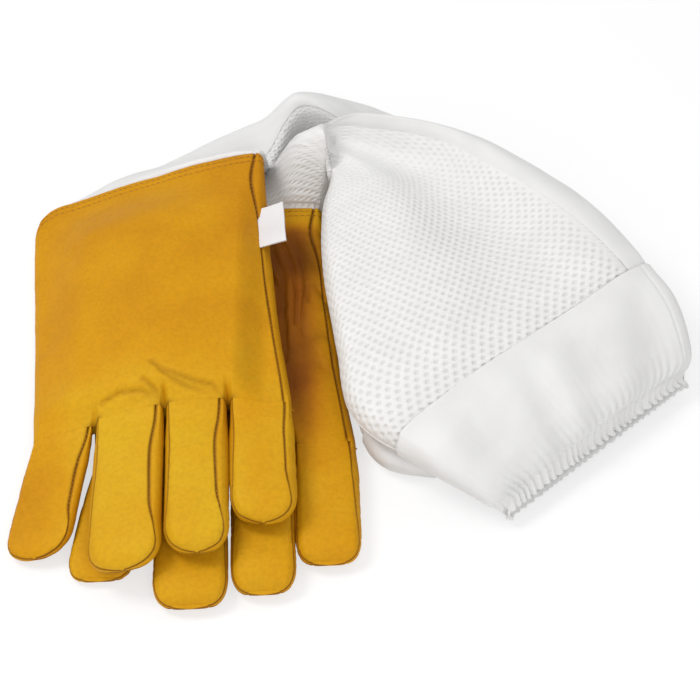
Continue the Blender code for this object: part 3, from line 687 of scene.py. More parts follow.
def follow_finger(piece, glove, number):
    """Fixes a finger's piece to its knuckle: it bends there if the finger lifts."""
    name = f"{glove.side}_{FINGERS[number][0]}"
    if name not in frame["bodies"]:
        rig.ride(piece, glove.body)
        return
    base = finger_rows(glove, number, np.array([0.0]))
    start = np.array((base.x[0, 0], base.y[0, 0], 0)) + ORIGIN
    end = start + KNUCKLE_AHEAD * BEND
    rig.blend(piece, glove.body, name, start=tuple(start * MM), end=tuple(end * MM))


def ease(count):
    """Shares from 0 to 1 in steps that close up towards the end."""
    return np.sin(np.linspace(0, math.pi / 2, count))


def seam_angles(table, glove, share):
    """Angles of a finger's seam at shares of its length, eased between the values of a table."""
    steps = np.linspace(-SEAM_EASE, SEAM_EASE, 9)
    eased = [np.interp(share + step, SEAM_AT, table[glove.side]) for step in steps]
    return np.radians(np.mean(eased, axis=0))


def finger_folds(glove, points):
    """Sink of a finger's fine cross folds and of the end that runs under the hand; no shade."""
    across, along = on_hand(glove, points)
    past = along - HAND_LENGTH
    patches = smooth(0.35, 0.7, crumple(across, along, 15, 78))
    sink = 0.22 * crease_lines(across * 0.4, along, 2.4, 77) ** 4 * patches * smooth(2, 12, past)
    sink = sink + 0.06 + 1.6 * np.clip(-past / SCARF, 0, 1) - 0.06 * smooth(0, 6, past)
    return sink, 0 * sink


for glove in GLOVES:
    for number, (finger, _, length, _) in enumerate(FINGERS):
        first, last = number == 0, number == len(FINGERS) - 1
        tip, dome = 1 - TIP_LENGTH / length, TIP_DOME * glove.tip_width / length
        share = np.concatenate([np.linspace(-SCARF / length, tip, int(length))[:-1],
                                tip + (1 - tip) * ease(26)[:-1], 1 + dome * ease(9)])
        rows = finger_rows(glove, number, share)
        right = seam_angles(LITTLE_SEAMS if last else RIGHT_SEAMS, glove, share)
        left = TURN / 2 - seam_angles(INDEX_SEAMS if first else LEFT_SEAMS, glove, share)
        low_left = left if first else np.full_like(left, TURN / 2 - GUSSET_LOW)
        low_right = TURN + (right if last else np.full_like(right, GUSSET_LOW))
        name = f"{glove.side}_{finger}"
        upper, lower = ("back", "palm") if glove is left_glove else ("palm", "back")
        panels = [(upper, right, left, 48), (lower, low_left, low_right, 54)]
        if not first:
            panels.append(("outer_gusset", left, low_left, 24))
        if not last:
            panels.append(("inner_gusset", low_right - TURN, right, 26))

        for panel, start, end, columns in panels:
            spread = np.linspace(0, 1, columns)[None]
            angles = start[:, None] + PANEL_GAP + (end - start - 2 * PANEL_GAP)[:, None] * spread
            piece, panel_skin = leather_sheet(
                f"{name}_{panel}_leather", rows, angles, glove, np.minimum(LEATHER, 0.7 * rows.half_depth),
                extra=lambda points: finger_folds(glove, points),
                slot="gusset_leather" if "gusset" in panel else "goat_leather")
            follow_finger(piece, glove, number)
            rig.replaces(piece, f"{name}_{panel}")
            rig.sheet(piece, held="laid", **cut(panel_skin))
        finger_seams[glove.side, finger] = share, right, left

# The thumbs: closed tubes of the same leather, sewn to the hands. Both are turned in and lie flat
# between the two palms, where little of them is seen.
THUMB_LENGTH, THUMB_WIDTH, THUMB_DEPTH, THUMB_WALL = 78.0, 27.0, 9.0, 0.9
THUMB_SIDE, THUMB_START, THUMB_LEAN, THUMB_GAP = 10.0, 52.0, 7.0, 0.5


def thumb_rows(glove, share):
    """Cross-sections of a thumb, lying flat on the right glove's palm."""
    share = share[:, None]
    along = share * THUMB_LENGTH
    end = np.maximum(0, (along - THUMB_LENGTH + TIP_LENGTH) / TIP_LENGTH)
    rounding = np.sqrt(np.maximum(0, 1 - end * end))
    half_depth = LEAST_DEPTH + (THUMB_DEPTH / 2 - LEAST_DEPTH) * rounding
    half_width = THUMB_WIDTH / 2 * (SQUARE_TIP + (1 - SQUARE_TIP) * rounding)
    x, y = place(glove, THUMB_LEAN * share - THUMB_SIDE, THUMB_START + along)

    def floor(px, py):
        across = (px - right_glove.wrist[0]) / HAND_SIDES[1][0]
        palm = HAND_DEPTH * (1 - INDEX_SIDE_THINNING * smooth(0, 1, -across))
        return palm + THUMB_GAP + THUMB_DEPTH / 2 - half_depth

    return Rows(x, y, np.full_like(x, HAND_YAW), half_width, half_depth, half_depth, HAND_FLAT, 0.0,
                floor, no_crest)


for glove in GLOVES:
    tip = 1 - TIP_LENGTH / THUMB_LENGTH
    share = np.concatenate([np.linspace(0, tip, 50)[:-1], tip + (1 - tip) * ease(18)])
    angles = np.linspace(0, TURN, 97)[None, :-1].repeat(len(share), 0)
    piece, thumb_skin = leather_sheet(
        f"{glove.side}_thumb_leather", thumb_rows(glove, share), angles, glove, THUMB_WALL, ring=True)
    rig.ride(piece, glove.body)
    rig.replaces(piece, f"{glove.side}_thumb")
    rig.sheet(piece, held="laid", **cut(thumb_skin, True))

# The sewing: rows of lockstitch in a tan thread, two round each hem and one down in each seam
# of the hand and the fingers.
HEM_STITCH = {"length": 2.0, "gap": 3.0, "thick": 0.55}
SEAM_STITCH = {"length": 1.5, "gap": 2.3, "thick": 0.5}
HEM_THREAD_DEEP, SIDE_THREAD_DEEP, FINGER_THREAD_DEEP = 0.35, 1.5, 1.4
thread = Look("tan_thread", roughness=0.6, specular=0.3)
coords = thread.output("TexCoord", "Object")
thread.feed("Base Color", thread.mottled(coords, 900, 2, (0.22, 0.085, 0.008), (0.40, 0.17, 0.015)))

for thing in list(bpy.context.selected_objects):
    thing.select_set(False)
bpy.ops.mesh.primitive_uv_sphere_add(segments=6, ring_count=5, radius=0.5)
grain = bpy.context.object
grain_points = np.array([v.co for v in grain.data.vertices])[:, [2, 0, 1]]
grain_faces = [list(p.vertices) for p in grain.data.polygons]
bpy.data.objects.remove(grain, do_unlink=True)


def stitches(lines, length, gap, thick):
    """Points and faces of stitches along lines of points, each with its direction outward."""
    points, faces = [], []
    for line, facing in lines:
        run = runs(line[None], 1)[0]
        for at in np.arange(gap / 2, run[-1] - gap / 2, gap):
            spot, up, ahead = (np.array([np.interp(at, run, values[:, k]) for k in range(3)])
                               for values in (line, facing, np.gradient(line, axis=0)))
            ahead /= np.linalg.norm(ahead)
            side = np.cross(up, ahead)
            side /= np.linalg.norm(side)
            up = np.cross(ahead, side)
            base = len(points) * len(grain_points)
            faces += [[base + v for v in face] for face in grain_faces]
            shaped = grain_points * (length, thick, thick)
            points.append(spot + shaped @ np.stack([ahead, side, up]))
    return np.concatenate(points), faces


def seam_line(rows, angle, sink):
    """Line along a tube at an angle for each row, with the directions out of its skin."""
    points = skin(rows, np.stack([angle - 0.03, angle, angle + 0.03], 1))
    facing = outward(points, rows, False)
    return points[:, 1] - facing[:, 1] * sink, facing[:, 1]


def sewing(name, lines, kind):
    piece = mesh_piece(name, *stitches(lines, **kind), thread)
    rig.slot(piece, "goat_leather")
    return piece


for glove in GLOVES:
    lines = []
    for row in STITCH_ROWS:
        at = hand_rows(glove, np.array([row - 0.5, row, row + 0.5]))
        points = skin(at, np.linspace(0, TURN, 361)[None].repeat(3, 0))
        points = round_corner(glove, points, np.full((3, 1), row))
        facing = outward(points, at, False)
        sink = wrinkles(points, glove.seed)[1] + HEM_THREAD_DEEP
        sink = sink + hem_pucker(*on_hand(glove, points[1]), row)
        lines.append((points[1] - facing[1] * sink[:, None], facing[1]))
    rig.ride(sewing(f"{glove.side}_hem_stitching", lines, HEM_STITCH), glove.body)
    along = np.linspace(1, HAND_LENGTH - 1, 120)
    line = seam_line(hand_rows(glove, along), side_seam(along), SIDE_THREAD_DEEP)
    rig.ride(sewing(f"{glove.side}_side_stitching", [line], SEAM_STITCH), glove.body)
    for number, (finger, *_) in enumerate(FINGERS):
        share, right, left = finger_seams[glove.side, finger]
        kept = (share > 0.02) & (share < 0.99)
        rows = finger_rows(glove, number, share[kept])
        lines = [seam_line(rows, angle[kept], FINGER_THREAD_DEEP) for angle in (right, left)]
        follow_finger(sewing(f"{glove.side}_{finger}_stitching", lines, SEAM_STITCH), glove, number)

# The tag: a plain white satin ribbon, folded double. Its ends are caught in the left hand's side
# seam, and it flips over about that seam.
TAG_LENGTH, TAG_WIDTH, TAG_CAUGHT = 25.0, 14.5, 2.0
TAG_ROOT, TAG_AXIS = np.array((-43.65, 65.67, 35.37)), np.array((0.078, -0.9969, -0.0094))
TAG_SLOPE = math.radians(22)
TAG_CURL, TAG_RIPPLE, TAG_RIPPLES = 0.6, 0.35, 7
TAG_HALF, TAG_FOLD = 0.34, 0.16
satin = Look("white_satin", roughness=0.42, specular=0.45)
coords = satin.output("UVMap", "UV")
satin.feed("Base Color", satin.mottled(coords, 60, 3, (0.66, 0.65, 0.66), (0.72, 0.71, 0.72)))
weft = satin.texture("Wave", coords, scale=700)
satin.feed("Normal", satin.bump(weft.outputs["Fac"], strength=0.2, distance=0.0001))
tag_out = np.array((math.cos(TAG_SLOPE), 0, math.sin(TAG_SLOPE)))
tag_up = np.cross(TAG_AXIS, tag_out)
reach, down = np.meshgrid(np.linspace(0, 1, 20), np.linspace(-0.5, 0.5, 34), indexing="ij")
curl = TAG_CURL * reach ** 2 * (1 - 0.8 * (down + 0.5)) + TAG_RIPPLE * np.sin(down * TAG_RIPPLES) * reach
ribbon = sum(way * run[..., None] for way, run in (
    (tag_out, reach * TAG_WIDTH - TAG_CAUGHT), (TAG_AXIS, down * TAG_LENGTH), (tag_up, curl))) + TAG_ROOT
swell = (TAG_HALF + TAG_FOLD * reach ** 3)[..., None] * tag_up
uv = np.stack([reach.ravel() * TAG_WIDTH, down.ravel() * TAG_LENGTH], -1) * MM
tag = mesh_piece("left_tag_ribbon", *closed_sheet(ribbon + swell, ribbon - swell, False), satin,
                 uv=np.tile(uv, (2, 1)))
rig.slot(tag, "tag_satin")
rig.ride(tag, "left_tag")
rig.replaces(tag, "left_tag")
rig.sheet(tag, flat=(TAG_WIDTH * MM, TAG_LENGTH * MM), held="hung", rests_on=["left_hand_leather"])

# The sleeves' plain cloth: white woven polycotton, the back half of each sleeve. It is caught
# under the leather hem and sewn to the mesh along both sides, and lies folded over to the right.
CLOTH = 0.9
MESH_SEAMS = {"right": (-15, 113), "left": (190, 420)}
MESH_CUFF_SEAM = 122
SLEEVE_FLAT = 1.3
# Each rib: x and y of its inner and outer end from the hem's corner, half depth, then the height
# below, peak, valley, ridge and drop of its upper side. Values left out at the end are 0.
RIBS = {
    "right": (
        (0, 0, -106, -5.5, 6.5), (1.5, 4.5, -72, 14, 6.5, 0, 14),
        (4, 6.4, -26, 25, 6.5, 0, 29), (4, 5.5, -4, 31, 8, 5, 28, 0, 0, 5),
        (1.5, 2.5, 22, 35, 11, 20, 10, 3, 2, 17), (-1.5, -22, 74, 22, 12, 22, 0, 9, 7, 7),
        (0.5, -70, 112, -7, 13.5, 22, 0, 10, 7, 2), (7, -118, 138, -34, 14.5, 22, 0, 6, 5),
        (15, -156, 156, -60, 14, 21, 0, 2, 3), (50, -179, 171, -86, 11, 15.5), (88, -193, 176, -115, 8, 3),
    ),
    "left": (
        (0, 0, -106, -5.5, 6.5), (2, 13, -84, 5, 6), (8, 25, -50, 24, 8, 0, 6),
        (22, 36, 4, 49, 12, 0, 16), (46, 23, 52, 56, 10, 0, 8), (53, -11, 96, 34, 9.5),
        (54, -61, 124, -1, 9.5), (46, -109, 142, -35, 9.5), (47, -151, 152, -63, 9.5),
        (60, -173, 156, -93, 8.5), (92, -177, 154, -121, 7),
    ),
}
RIB_VALUES = 10
CUFF_RIB, HINGE_RIB, LAST_RIB = 8.3, 5.5, 10.0
HINGE_REACH = 22.0
TUCK, TUCK_SINK = 8.0, 2.5
DROOP, DROOP_RIB = 0.6, 9.4
HOLLOW, HOLLOW_RIBS = 17.0, (3.05, 3.6, 3.8, 5.6)
CUFF_SLANT, CUFF_OVERLAP = 0.35, 0.1
SEWN_SINK, SEWN_REACH = 0.7, 0.3


def under_left_sleeve(x, y):
    """Floor under the left sleeve, from the left glove's hem down to the table."""
    behind = smooth(3, 24, y - left_glove.wrist[1])
    beside = smooth(58, 82, x - left_glove.wrist[0])
    return TABLE_GAP + (on_right_glove(x, y) - TABLE_GAP) * (1 - behind) * (1 - beside)


def sleeve_rows(glove, rib):
    """Cross-sections of a folded sleeve; below rib 0 it goes on inside the leather hem."""
    corner = place(glove, HEM_WIDTH / 2, TUCK * np.maximum(0, -rib)[:, None])
    ribs = [values + (0,) * (RIB_VALUES - len(values)) for values in RIBS[glove.side]]
    columns = through(ribs, np.maximum(rib, 0)).T[:, :, None]
    inner_x, inner_y, outer_x, outer_y, half_depth, base, peak, valley, ridge, drop = columns
    inner_x, outer_x = corner[0] + inner_x, corner[0] + outer_x
    inner_y, outer_y = corner[1] + inner_y, corner[1] + outer_y
    width = np.hypot(inner_x - outer_x, inner_y - outer_y)
    yaw = np.arctan2(inner_y - outer_y, inner_x - outer_x)
    middle_x, middle_y = (inner_x + outer_x) / 2, (inner_y + outer_y) / 2

    def floor(x, y):
        if glove is left_glove:
            return under_left_sleeve(x, y)
        across = ((x - middle_x) * np.cos(yaw) + (y - middle_y) * np.sin(yaw)) / (width / 2)
        return np.maximum(0.0, base - drop * smooth(0.1, 1, across))

    sunk = HOLLOW * between(HOLLOW_RIBS, rib)[:, None] * (glove is right_glove)

    def crest(x, across):
        shown = smooth(47, 70, x - left_glove.wrist[0])
        hollow = sunk * between((-0.85, -0.3, 0.3, 0.9), across)
        sides = ridge * hill(-0.8, 0.4, across) - valley * hill(-0.25, 0.6, across)
        return peak * shown - hollow + sides

    half_depth = half_depth * (1 - DROOP * smooth(DROOP_RIB, LAST_RIB, rib))[:, None]
    thinning = INDEX_SIDE_THINNING * (1 - smooth(0, 2.5, rib))[:, None]
    return Rows(middle_x, middle_y, yaw, width / 2, half_depth, np.minimum(half_depth, width / 4),
                SLEEVE_FLAT, thinning, floor, crest)


cloth = Look("white_polycotton", roughness=0.82, specular=0.2)
cloth.inputs["Sheen Weight"].default_value = 0.15
coords = cloth.output("UVMap", "UV")
cloth.feed("Base Color", cloth.mottled(coords, 40, 4, (0.67, 0.665, 0.66), (0.72, 0.715, 0.71)))
weave = None
for direction in ("X", "Y"):
    yarn = cloth.texture("Wave", coords, scale=560)
    yarn.bands_direction = direction
    weave = cloth.bump(yarn.outputs["Fac"], strength=0.25, distance=0.00012, under=weave)
slub = cloth.noise(coords, scale=160, detail=4)
cloth.feed("Normal", cloth.bump(slub, strength=0.25, distance=0.0006, under=weave))


def cloth_sheet(name, points, rows, wall, inset, rolled, sink, ring):
    """Panel of cloth with its own thickness, laid on points of a tube."""
    facing = outward(points, rows, ring)
    around, along = runs(points, 1), runs(points, 0)
    edges = {"start": around, "end": around[:, -1:] - around, "first": along, "last": along[-1:] - along}
    edge = np.min([edges[e] for e in rolled] + [np.full(around.shape, NO_EDGE)], axis=0)
    radius = wall / 2
    roll = radius * (1 - np.sqrt(1 - np.clip(1 - edge / radius, 0, 1) ** 2))
    depth = inset + sink(points, around, along)
    outer = points - facing * (depth + roll)[..., None]
    inner = points - facing * (depth + wall - roll * 0.9)[..., None]
    uv = np.stack([around - around[:, -1:] / 2, along], -1).reshape(-1, 2) * MM
    return mesh_piece(name, *closed_sheet(outer, inner, ring), cloth, uv=np.tile(uv, (2, 1))), outer


def bend_sleeve(piece):
    """The right sleeve bends where its loose end is lifted."""
    at = sleeve_rows(right_glove, np.array([HINGE_RIB]))
    ahead = np.array((-math.sin(at.yaw[0, 0]), math.cos(at.yaw[0, 0]), 0))
    middle = np.array((at.x[0, 0], at.y[0, 0], 0)) + ORIGIN
    ahead *= np.sign(ahead[0])
    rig.blend(piece, "right_glove", "right_sleeve_end", start=tuple((middle - ahead * HINGE_REACH) * MM),
             end=tuple((middle + ahead * HINGE_REACH) * MM))


def fix_sleeve(piece, glove, panel):
    """Fixes a sleeve's panel to its body, in the place of its solids."""
    if glove is right_glove:
        bend_sleeve(piece)
        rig.replaces(piece, f"right_{panel}", f"right_{panel}_end")
    else:
        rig.ride(piece, "right_glove")
        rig.replaces(piece, f"left_{panel}")


def soft_waves(points, rib):
    """How far a sleeve's cloth sinks in: slow waves, and a tuck under the leather hem."""
    u, v = points[..., 0], points[..., 1]
    tuck = TUCK_SINK * (1 - smooth(0, 0.35, rib))[:, None]
    waves = 1.3 * crumple(u, v, 38, 61) + 0.45 * crumple(u, v, 14, 62) - 0.5
    return tuck + waves * smooth(0, 0.5, rib)[:, None]


def mesh_seams(glove, rib, under):
    """Angles at the two edges of a sleeve's mesh, moved on by a distance under the plain cloth."""
    first, last = MESH_SEAMS[glove.side]
    at_cuff = MESH_CUFF_SEAM if glove is right_glove else last
    first, last = np.full_like(rib, first), np.interp(rib, (HINGE_RIB, CUFF_RIB), (last, at_cuff))
    rows = sleeve_rows(glove, rib)
    step, moved = 0.01, []
    for angle, way in ((np.radians(first), -1), (np.radians(last), 1)):
        here, there = (skin(rows, angle[:, None] + turn)[:, 0] for turn in (0, step))
        moved.append(angle + way * step * under / np.linalg.norm(there - here, axis=1))
    return moved


def cuff_line(glove, angles):
    """Rib at which the cuff is sewn on, a little further down on the inside of the bend."""
    return CUFF_RIB + CUFF_SLANT * smooth(-0.7, 1, np.cos(angles)) * (glove is right_glove)


def panel_ribs(start, tucked, shown):
    """Ribs along a sleeve's panel, closer in the part that is tucked into the hem."""
    end = CUFF_RIB + CUFF_SLANT + CUFF_OVERLAP
    return np.concatenate([np.linspace(start, 0.5, tucked)[:-1], np.linspace(0.5, end, shown)])


for glove in GLOVES:
    rib = panel_ribs(-1, 24, 180)
    rows = sleeve_rows(glove, rib)
    first, last = mesh_seams(glove, rib, 0)
    angles = last[:, None] + (first + TURN - last)[:, None] * np.linspace(0, 1, 130)[None]
    sewn_at = cuff_line(glove, angles)
    piece, panel_skin = cloth_sheet(
        f"{glove.side}_sleeve_back_cloth", skin(rows, angles), rows, CLOTH, 0.0, ("start", "end"),
        lambda points, around, along: soft_waves(points, rib)
        + SEWN_SINK * smooth(sewn_at - SEWN_REACH, sewn_at, rib[:, None]), False)
    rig.slot(piece, "white_cloth")
    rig.sheet(piece, held="folded", **cut(panel_skin))
    fix_sleeve(piece, glove, "sleeve_cloth")

# The sleeves' ventilated mesh: a thick white spacer knit with rows of oval cells, the palm half
# of each sleeve, whose edges run under the plain cloth and the leather hem.
MESH_CLOTH = 1.2
CELL_ACROSS, CELL_ALONG = 4.0, 3.3
CELL_RIM, CELL_RIM_DEEP, CELL_FLOOR, CELL_DEEP, CELL_SHADE = 0.56, 0.12, 0.36, 0.7, 0.6
MESH_UNDER, MESH_EASE, MESH_EDGE_SINK, MESH_UNDER_SINK = 4.5, 4.0, 0.4, 0.9
MESH_SEWN_SINK, MESH_SEWN_REACH = 0.9, 0.4
spacer = Look("spacer_mesh", roughness=0.85, specular=0.2)
spacer.inputs["Sheen Weight"].default_value = 0.2
coords = spacer.output("TexCoord", "Object")
knit = spacer.mottled(coords, 45, 3, (0.69, 0.685, 0.675), (0.73, 0.725, 0.715))
# The pit mark paints the floors of the cells darker, as painted shade in the dimples.
spacer.feed("Base Color", spacer.mix(spacer.mark("pit"), knit, (0.60, 0.58, 0.55)))
rib_knit = spacer.texture("Wave", spacer.output("UVMap", "UV"), scale=135, distortion=0.6)
rib_knit.bands_direction = "Y"
ribs = spacer.bump(rib_knit.outputs["Fac"], strength=0.25, distance=0.0004)
fuzz = spacer.noise(coords, scale=1400, detail=3)
spacer.feed("Normal", spacer.bump(fuzz, strength=0.4, distance=0.0003, under=ribs))


def cell_fabric(name, rows, angles, sink):
    """Sheet of hexagonal cells, each a dimple, laid on a stretch of a tube's skin."""
    points = skin(rows, angles)
    facing = outward(points, rows, False)
    around, along = runs(points, 1), runs(points, 0)
    edge = np.minimum(around, around[:, -1:] - around)
    deep = sink(points) + MESH_EDGE_SINK * (1 - smooth(MESH_UNDER, MESH_UNDER + MESH_EASE, edge))
    deep = deep + MESH_UNDER_SINK * (1 - smooth(1, MESH_UNDER, edge))
    points = points - facing * deep[..., None]
    pace = np.linalg.norm(np.gradient(points, axis=0), axis=-1)
    facing = facing * np.clip(2 * pace / np.median(pace), 0.15, 1)[..., None]
    middle = around.shape[1] // 2
    arc = around - around[:, middle:middle + 1]
    length = along.mean(axis=1)
    grid = np.arange(math.floor(arc.min()), math.ceil(arc.max()) + 1.0, 1.0)
    spread = np.stack([np.stack([np.interp(grid, arc[i], values[i, :, k]) for k in range(3)], -1)
                       for values in (points, facing) for i in range(len(length))])
    laid, up = spread[:len(length)], spread[len(length):]
    low, wide = arc[:, 0], arc[:, -1] - arc[:, 0]
    full = wide[int(0.7 * len(wide))]

    def at(field, s, t):
        s = np.interp(t, length, low) + s / full * np.interp(t, length, wide)
        i = np.clip(np.searchsorted(length, t) - 1, 0, len(length) - 2)
        f = np.clip((t - length[i]) / (length[i + 1] - length[i]), 0, 1)[:, None]
        j = np.clip(s - grid[0], 0, len(grid) - 1.001)
        k, g = j.astype(int), (j - j.astype(int))[:, None]
        return (field[i, k] * (1 - g) + field[i, k + 1] * g) * (1 - f) \
            + (field[i + 1, k] * (1 - g) + field[i + 1, k + 1] * g) * f

    tall = CELL_ALONG / 1.5
    r, c = np.meshgrid(np.arange(1, int(length[-1] / CELL_ALONG)),
                       np.arange(int(full / CELL_ACROSS) + 1), indexing="ij")
    s, t = ((c + 0.5 * (r % 2)) * CELL_ACROSS).ravel(), (r * CELL_ALONG).ravel()
    kept = (s > 1.0) & (s < full - 1.0)
    r, c, s, t = r.ravel()[kept], c.ravel()[kept], s[kept], t[kept]
    turns = ((0, 2), (1, 1), (1, -1), (0, -2), (-1, -1), (-1, 1))
    keys = np.stack([np.stack([2 * c + r % 2 + i, 3 * r + j], -1) for i, j in turns], 1)
    corners, number = np.unique(keys.reshape(-1, 2), axis=0, return_inverse=True)
    number = number.reshape(-1, 6)
    corner_s, corner_t = corners[:, 0] * CELL_ACROSS / 2, corners[:, 1] * tall / 2
    count = len(corners)
    land = at(laid, corner_s, corner_t)
    land_up = at(up, corner_s, corner_t)
    made, dark = [land, land - land_up * MESH_CLOTH], [np.zeros(count), np.zeros(count)]
    rings = []
    inside = smooth(MESH_UNDER, MESH_UNDER + 3, np.minimum(s, full - s))
    inside = inside * np.interp(t, length, wide / full).clip(0, 1) ** 2
    inside = inside[:, None].repeat(6, 1).ravel()
    for share, deep, shade in ((CELL_RIM, CELL_RIM_DEEP, 0.0), (CELL_FLOOR, CELL_DEEP, CELL_SHADE)):
        ring_s = s[:, None] + (corner_s[number] - s[:, None]) * share
        ring_t = t[:, None] + (corner_t[number] - t[:, None]) * share
        ring_up = at(up, ring_s.ravel(), ring_t.ravel())
        spots = at(laid, ring_s.ravel(), ring_t.ravel()) - ring_up * (deep * inside)[:, None]
        rings.append(sum(len(m) for m in made) + np.arange(number.size).reshape(-1, 6))
        made.append(spots)
        dark.append(shade * inside)
    quads = [np.stack([ring, np.roll(ring, -1, 1), np.roll(inner, -1, 1), inner], -1)
             for ring, inner in ((number, rings[0]), (rings[0], rings[1]))]
    pairs = np.stack([number, np.roll(number, -1, 1)], -1).reshape(-1, 2)
    _, back, uses = np.unique(np.sort(pairs, 1), axis=0, return_inverse=True, return_counts=True)
    rim = pairs[uses[back.ravel()] == 1]
    quads.append(np.stack([rim[:, 1], rim[:, 0], rim[:, 0] + count, rim[:, 1] + count], -1))
    faces = [q for stack in quads for q in stack.reshape(-1, 4)]
    faces += [*rings[1], *(ring[::-1] + count for ring in number)]
    made = np.concatenate(made)
    return mesh_piece(name, made, faces, spacer, 180, made[:, :2] * MM, pit=np.concatenate(dark)), points


for glove in GLOVES:
    rib = panel_ribs(-0.8, 40, 260)
    rows = sleeve_rows(glove, rib)
    first, last = mesh_seams(glove, rib, MESH_UNDER)
    angles = first[:, None] + (last - first)[:, None] * np.linspace(0, 1, 150)[None]
    sewn_at = cuff_line(glove, angles)
    piece, panel_skin = cell_fabric(
        f"{glove.side}_sleeve_palm_mesh", rows, angles,
        lambda points: soft_waves(points, rib)
        + MESH_SEWN_SINK * smooth(sewn_at - MESH_SEWN_REACH, sewn_at, rib[:, None]))
    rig.slot(piece, "spacer_mesh")
    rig.sheet(piece, held="folded", **cut(panel_skin))
    fix_sleeve(piece, glove, "sleeve_mesh")

# The join at the left wrist: the sleeve's end runs on inside the leather hem and is sewn there,
# so it bridges the hem and the sleeve when the hand is lifted.
JOIN_RIBS, JOIN_INSET, JOIN_BEND = (-0.9, 0.5), 4.6, 12.0


def ring_sheet(name, glove, ribs, steps, columns, wall, inset, rolled):
    """Plain ring of cloth inside a sleeve, between two ribs."""
    rows = sleeve_rows(glove, np.linspace(*ribs, steps))
    angles = np.linspace(0, TURN, columns + 1)[None, :-1].repeat(steps, 0)
    return cloth_sheet(name, skin(rows, angles), rows, wall, inset, rolled,
                       lambda points, around, along: 0 * around, True)


piece, join_skin = ring_sheet("left_wrist_join", left_glove, JOIN_RIBS, 18, 120, CLOTH, JOIN_INSET, ())
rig.slot(piece, "white_cloth")
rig.sheet(piece, held="folded", **cut(join_skin, True))
hem = np.array((*left_glove.wrist, 0)) + ORIGIN
bend_start = hem - KNUCKLE_AHEAD * JOIN_BEND
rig.blend(piece, "right_glove", "left_hand", start=tuple(bend_start * MM), end=tuple(hem * MM))

# The cuffs: the same white cloth as a wide ring, gathered at its end by a band of elastic that
# runs in a turned hem, so its edge is pleated and scalloped.
GATHER, PLEAT, CHANNEL = 13.0, 4.2, 9.0
NECK, NECK_RIB, NECK_REACH = 3.5, 9.78, 0.12
EARS, SLIDE, CUFF_INSET = 2.5, 1.6, -0.1
CUFF_SEAM, CUFF_SEAM_WIDTH = math.radians(128), 0.012
CUFF_STEPS, CUFF_COLUMNS, EVEN_RIB = 96, 400, 9.6
PLEAT_SEED, PLEAT_ROUND, CUFF_ROUND = 91, 41, 257
# Each lining: piece, solid, slot, how it is held, ribs, steps, columns, wall and inset.
CUFF_LININGS = (
    ("cuff_hem_cloth", "cuff_facing", "white_cloth", "gathered", (9.4, 9.86), 24, 240, 0.5, 1.9),
    ("elastic_band", "elastic", "elastic", "stretched", (9.6, 9.83), 8, 180, 0.8, 1.05),
)


def pleats(around, left, pitch, seed):
    """Folds that fan out from the elastic, from 0 to 1."""
    turn = TURN * around / around[:, -1:]
    u, v = PLEAT_ROUND * np.cos(turn) + 0.1 * left, PLEAT_ROUND * np.sin(turn) - 0.05 * left
    wave = np.sin(round(CUFF_ROUND / pitch) * turn + 9 * crumple(u, v, 3 * pitch, seed))
    return 0.5 + wave * (0.2 + 0.3 * crumple(u, v, pitch, seed + 1))


def gathers(around, along, angles):
    """How far a cuff's cloth sinks in: pleats at the elastic, sewn lines and soft folds behind them."""
    left = along[-1:] - along
    turn = TURN * around / around[:, -1:]
    near = bell(left, GATHER) * (1 - 0.8 * np.abs(np.cos(angles)) ** 8)
    line = 0.6 * bell(left - CHANNEL, 1.1) + 0.5 * bell(angles - CUFF_SEAM, CUFF_SEAM_WIDTH)
    u, v = PLEAT_ROUND * np.cos(turn) + 0.25 * left, PLEAT_ROUND * np.sin(turn) - 0.1 * left
    fold = 5.5 * (crumple(u, v, 14, PLEAT_SEED + 1) - 0.9)
    fold = fold * smooth(1, 20, along) * smooth(3, 16, left) * smooth(-0.3, 0.5, np.sin(angles))
    return near * (2.0 * pleats(around, left, PLEAT, PLEAT_SEED) - 1.8) + line + fold


for glove in GLOVES:
    body = "right_sleeve_end" if glove is right_glove else "right_glove"
    angles = even_angles(sleeve_rows(glove, np.array([EVEN_RIB])), 0, TURN, CUFF_COLUMNS + 1)
    angles = angles[:, :-1].repeat(CUFF_STEPS, 0)
    sewn_at = cuff_line(glove, angles)
    rib = sewn_at + (LAST_RIB - sewn_at) * np.linspace(-0.04, 1, CUFF_STEPS)[:, None]
    rows = sleeve_rows(glove, rib.ravel())
    neck = NECK * bell(NECK_RIB - rib.reshape(-1, 1), NECK_REACH)
    points = skin(rows._replace(half_width=rows.half_width - neck), angles.reshape(-1, 1))
    points = points.reshape(CUFF_STEPS, CUFF_COLUMNS, 3)
    around, along = runs(points, 1), runs(points, 0)
    left = along[-1:] - along
    ahead = np.gradient(points, axis=0)
    ahead /= np.linalg.norm(ahead, axis=-1, keepdims=True)
    slide = SLIDE * (pleats(around, left, PLEAT, PLEAT_SEED) - 0.5) - EARS * (1 - np.cos(angles) ** 4)
    points = points + ahead * (slide * bell(left, GATHER))[..., None]
    rows = sleeve_rows(glove, rib[:, 90])
    piece, cuff_skin = cloth_sheet(
        f"{glove.side}_cuff_cloth", points, rows, CLOTH, CUFF_INSET, ("first", "last"),
        lambda points, around, along: gathers(around, along, angles), True)
    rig.slot(piece, "white_cloth")
    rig.ride(piece, body)
    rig.replaces(piece, f"{glove.side}_cuff")
    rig.sheet(piece, held="gathered", **cut(cuff_skin, True))
    for name, node, slot, held, *sizes in CUFF_LININGS:
        piece, lining_skin = ring_sheet(f"{glove.side}_{name}", glove, *sizes, ("first", "last"))
        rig.slot(piece, slot)
        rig.ride(piece, body)
        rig.replaces(piece, f"{glove.side}_{node}")
        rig.sheet(piece, held=held, **cut(lining_skin, True))

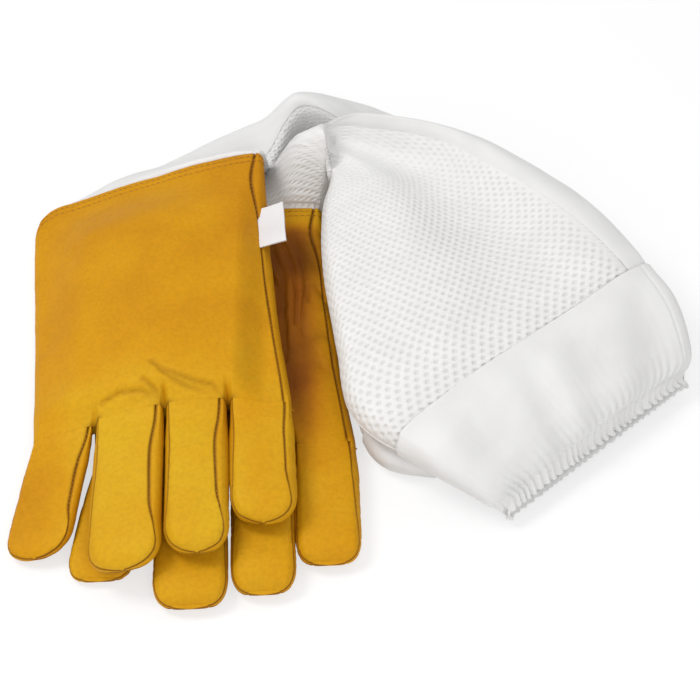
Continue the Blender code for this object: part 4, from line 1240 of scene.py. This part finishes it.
# The stage: a table of white paper that glows a little in the picture, a pale sky, three soft lamps
# and the camera, above and in front of the fingers.
TABLE_DROP, TABLE_GLOW, SKY = 0.0002, 0.65, 0.62
LAMPS = (((-0.6, 0.0, 1.0), 5.8, 0.4), ((0.15, -1.0, 0.75), 5.0, 0.8), ((0.1, 0.6, 1.1), 1.5, 0.8))
AIM, CAMERA_LEAN, CAMERA_AWAY = Vector((-0.00209, -0.01569, 0.0197)), math.radians(50), 1.10
SENSOR, LENS = 36, 117.9
bpy.ops.mesh.primitive_plane_add(size=6, location=(0, 0, -TABLE_DROP))
table = bpy.context.object
table.name = "table"
paper = Look("white_paper", roughness=0.9, specular=0.5)
paper.inputs["Base Color"].default_value = (0.9, 0.9, 0.9, 1)
glow = paper.nodes.new("ShaderNodeEmission")
glow.inputs["Strength"].default_value = 1.0
share = paper.nodes.new("ShaderNodeMath")
share.operation = "MULTIPLY"
share.inputs[1].default_value = TABLE_GLOW
paper.link(paper.output("LightPath", "Is Camera Ray"), share.inputs[0])
both = paper.nodes.new("ShaderNodeMixShader")
for node, socket in zip((share, paper.nodes["Principled BSDF"], glow), both.inputs):
    paper.link(node.outputs[0], socket)
paper.link(both.outputs[0], paper.nodes["Material Output"].inputs["Surface"])
table.data.materials.append(paper.material)
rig.stage(table)

world = bpy.data.worlds.new("studio")
bpy.context.scene.world = world
world.use_nodes = True
sky = world.node_tree.nodes["Background"].inputs
sky["Color"].default_value, sky["Strength"].default_value = (1, 1, 1, 1), SKY
for spot, energy, size in LAMPS:
    bpy.ops.object.light_add(type="AREA", location=spot)
    lamp = bpy.context.object
    lamp.data.energy, lamp.data.size = energy, size
    lamp.rotation_euler = (-Vector(spot)).to_track_quat("-Z", "Y").to_euler()

bpy.ops.object.camera_add()
camera = bpy.context.object
camera.location = AIM + CAMERA_AWAY * Vector((0, -math.cos(CAMERA_LEAN), math.sin(CAMERA_LEAN)))
camera.rotation_euler = (AIM - camera.location).to_track_quat("-Z", "Y").to_euler()
camera.data.sensor_width, camera.data.lens = SENSOR, LENS
bpy.context.scene.camera = camera
bpy.context.scene.view_settings.view_transform = "Standard"

with open("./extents.json", "w") as size_file:
    json.dump({"cad": [list(c) for c in cad_box], "visual": [list(c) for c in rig.bounds()]}, size_file)
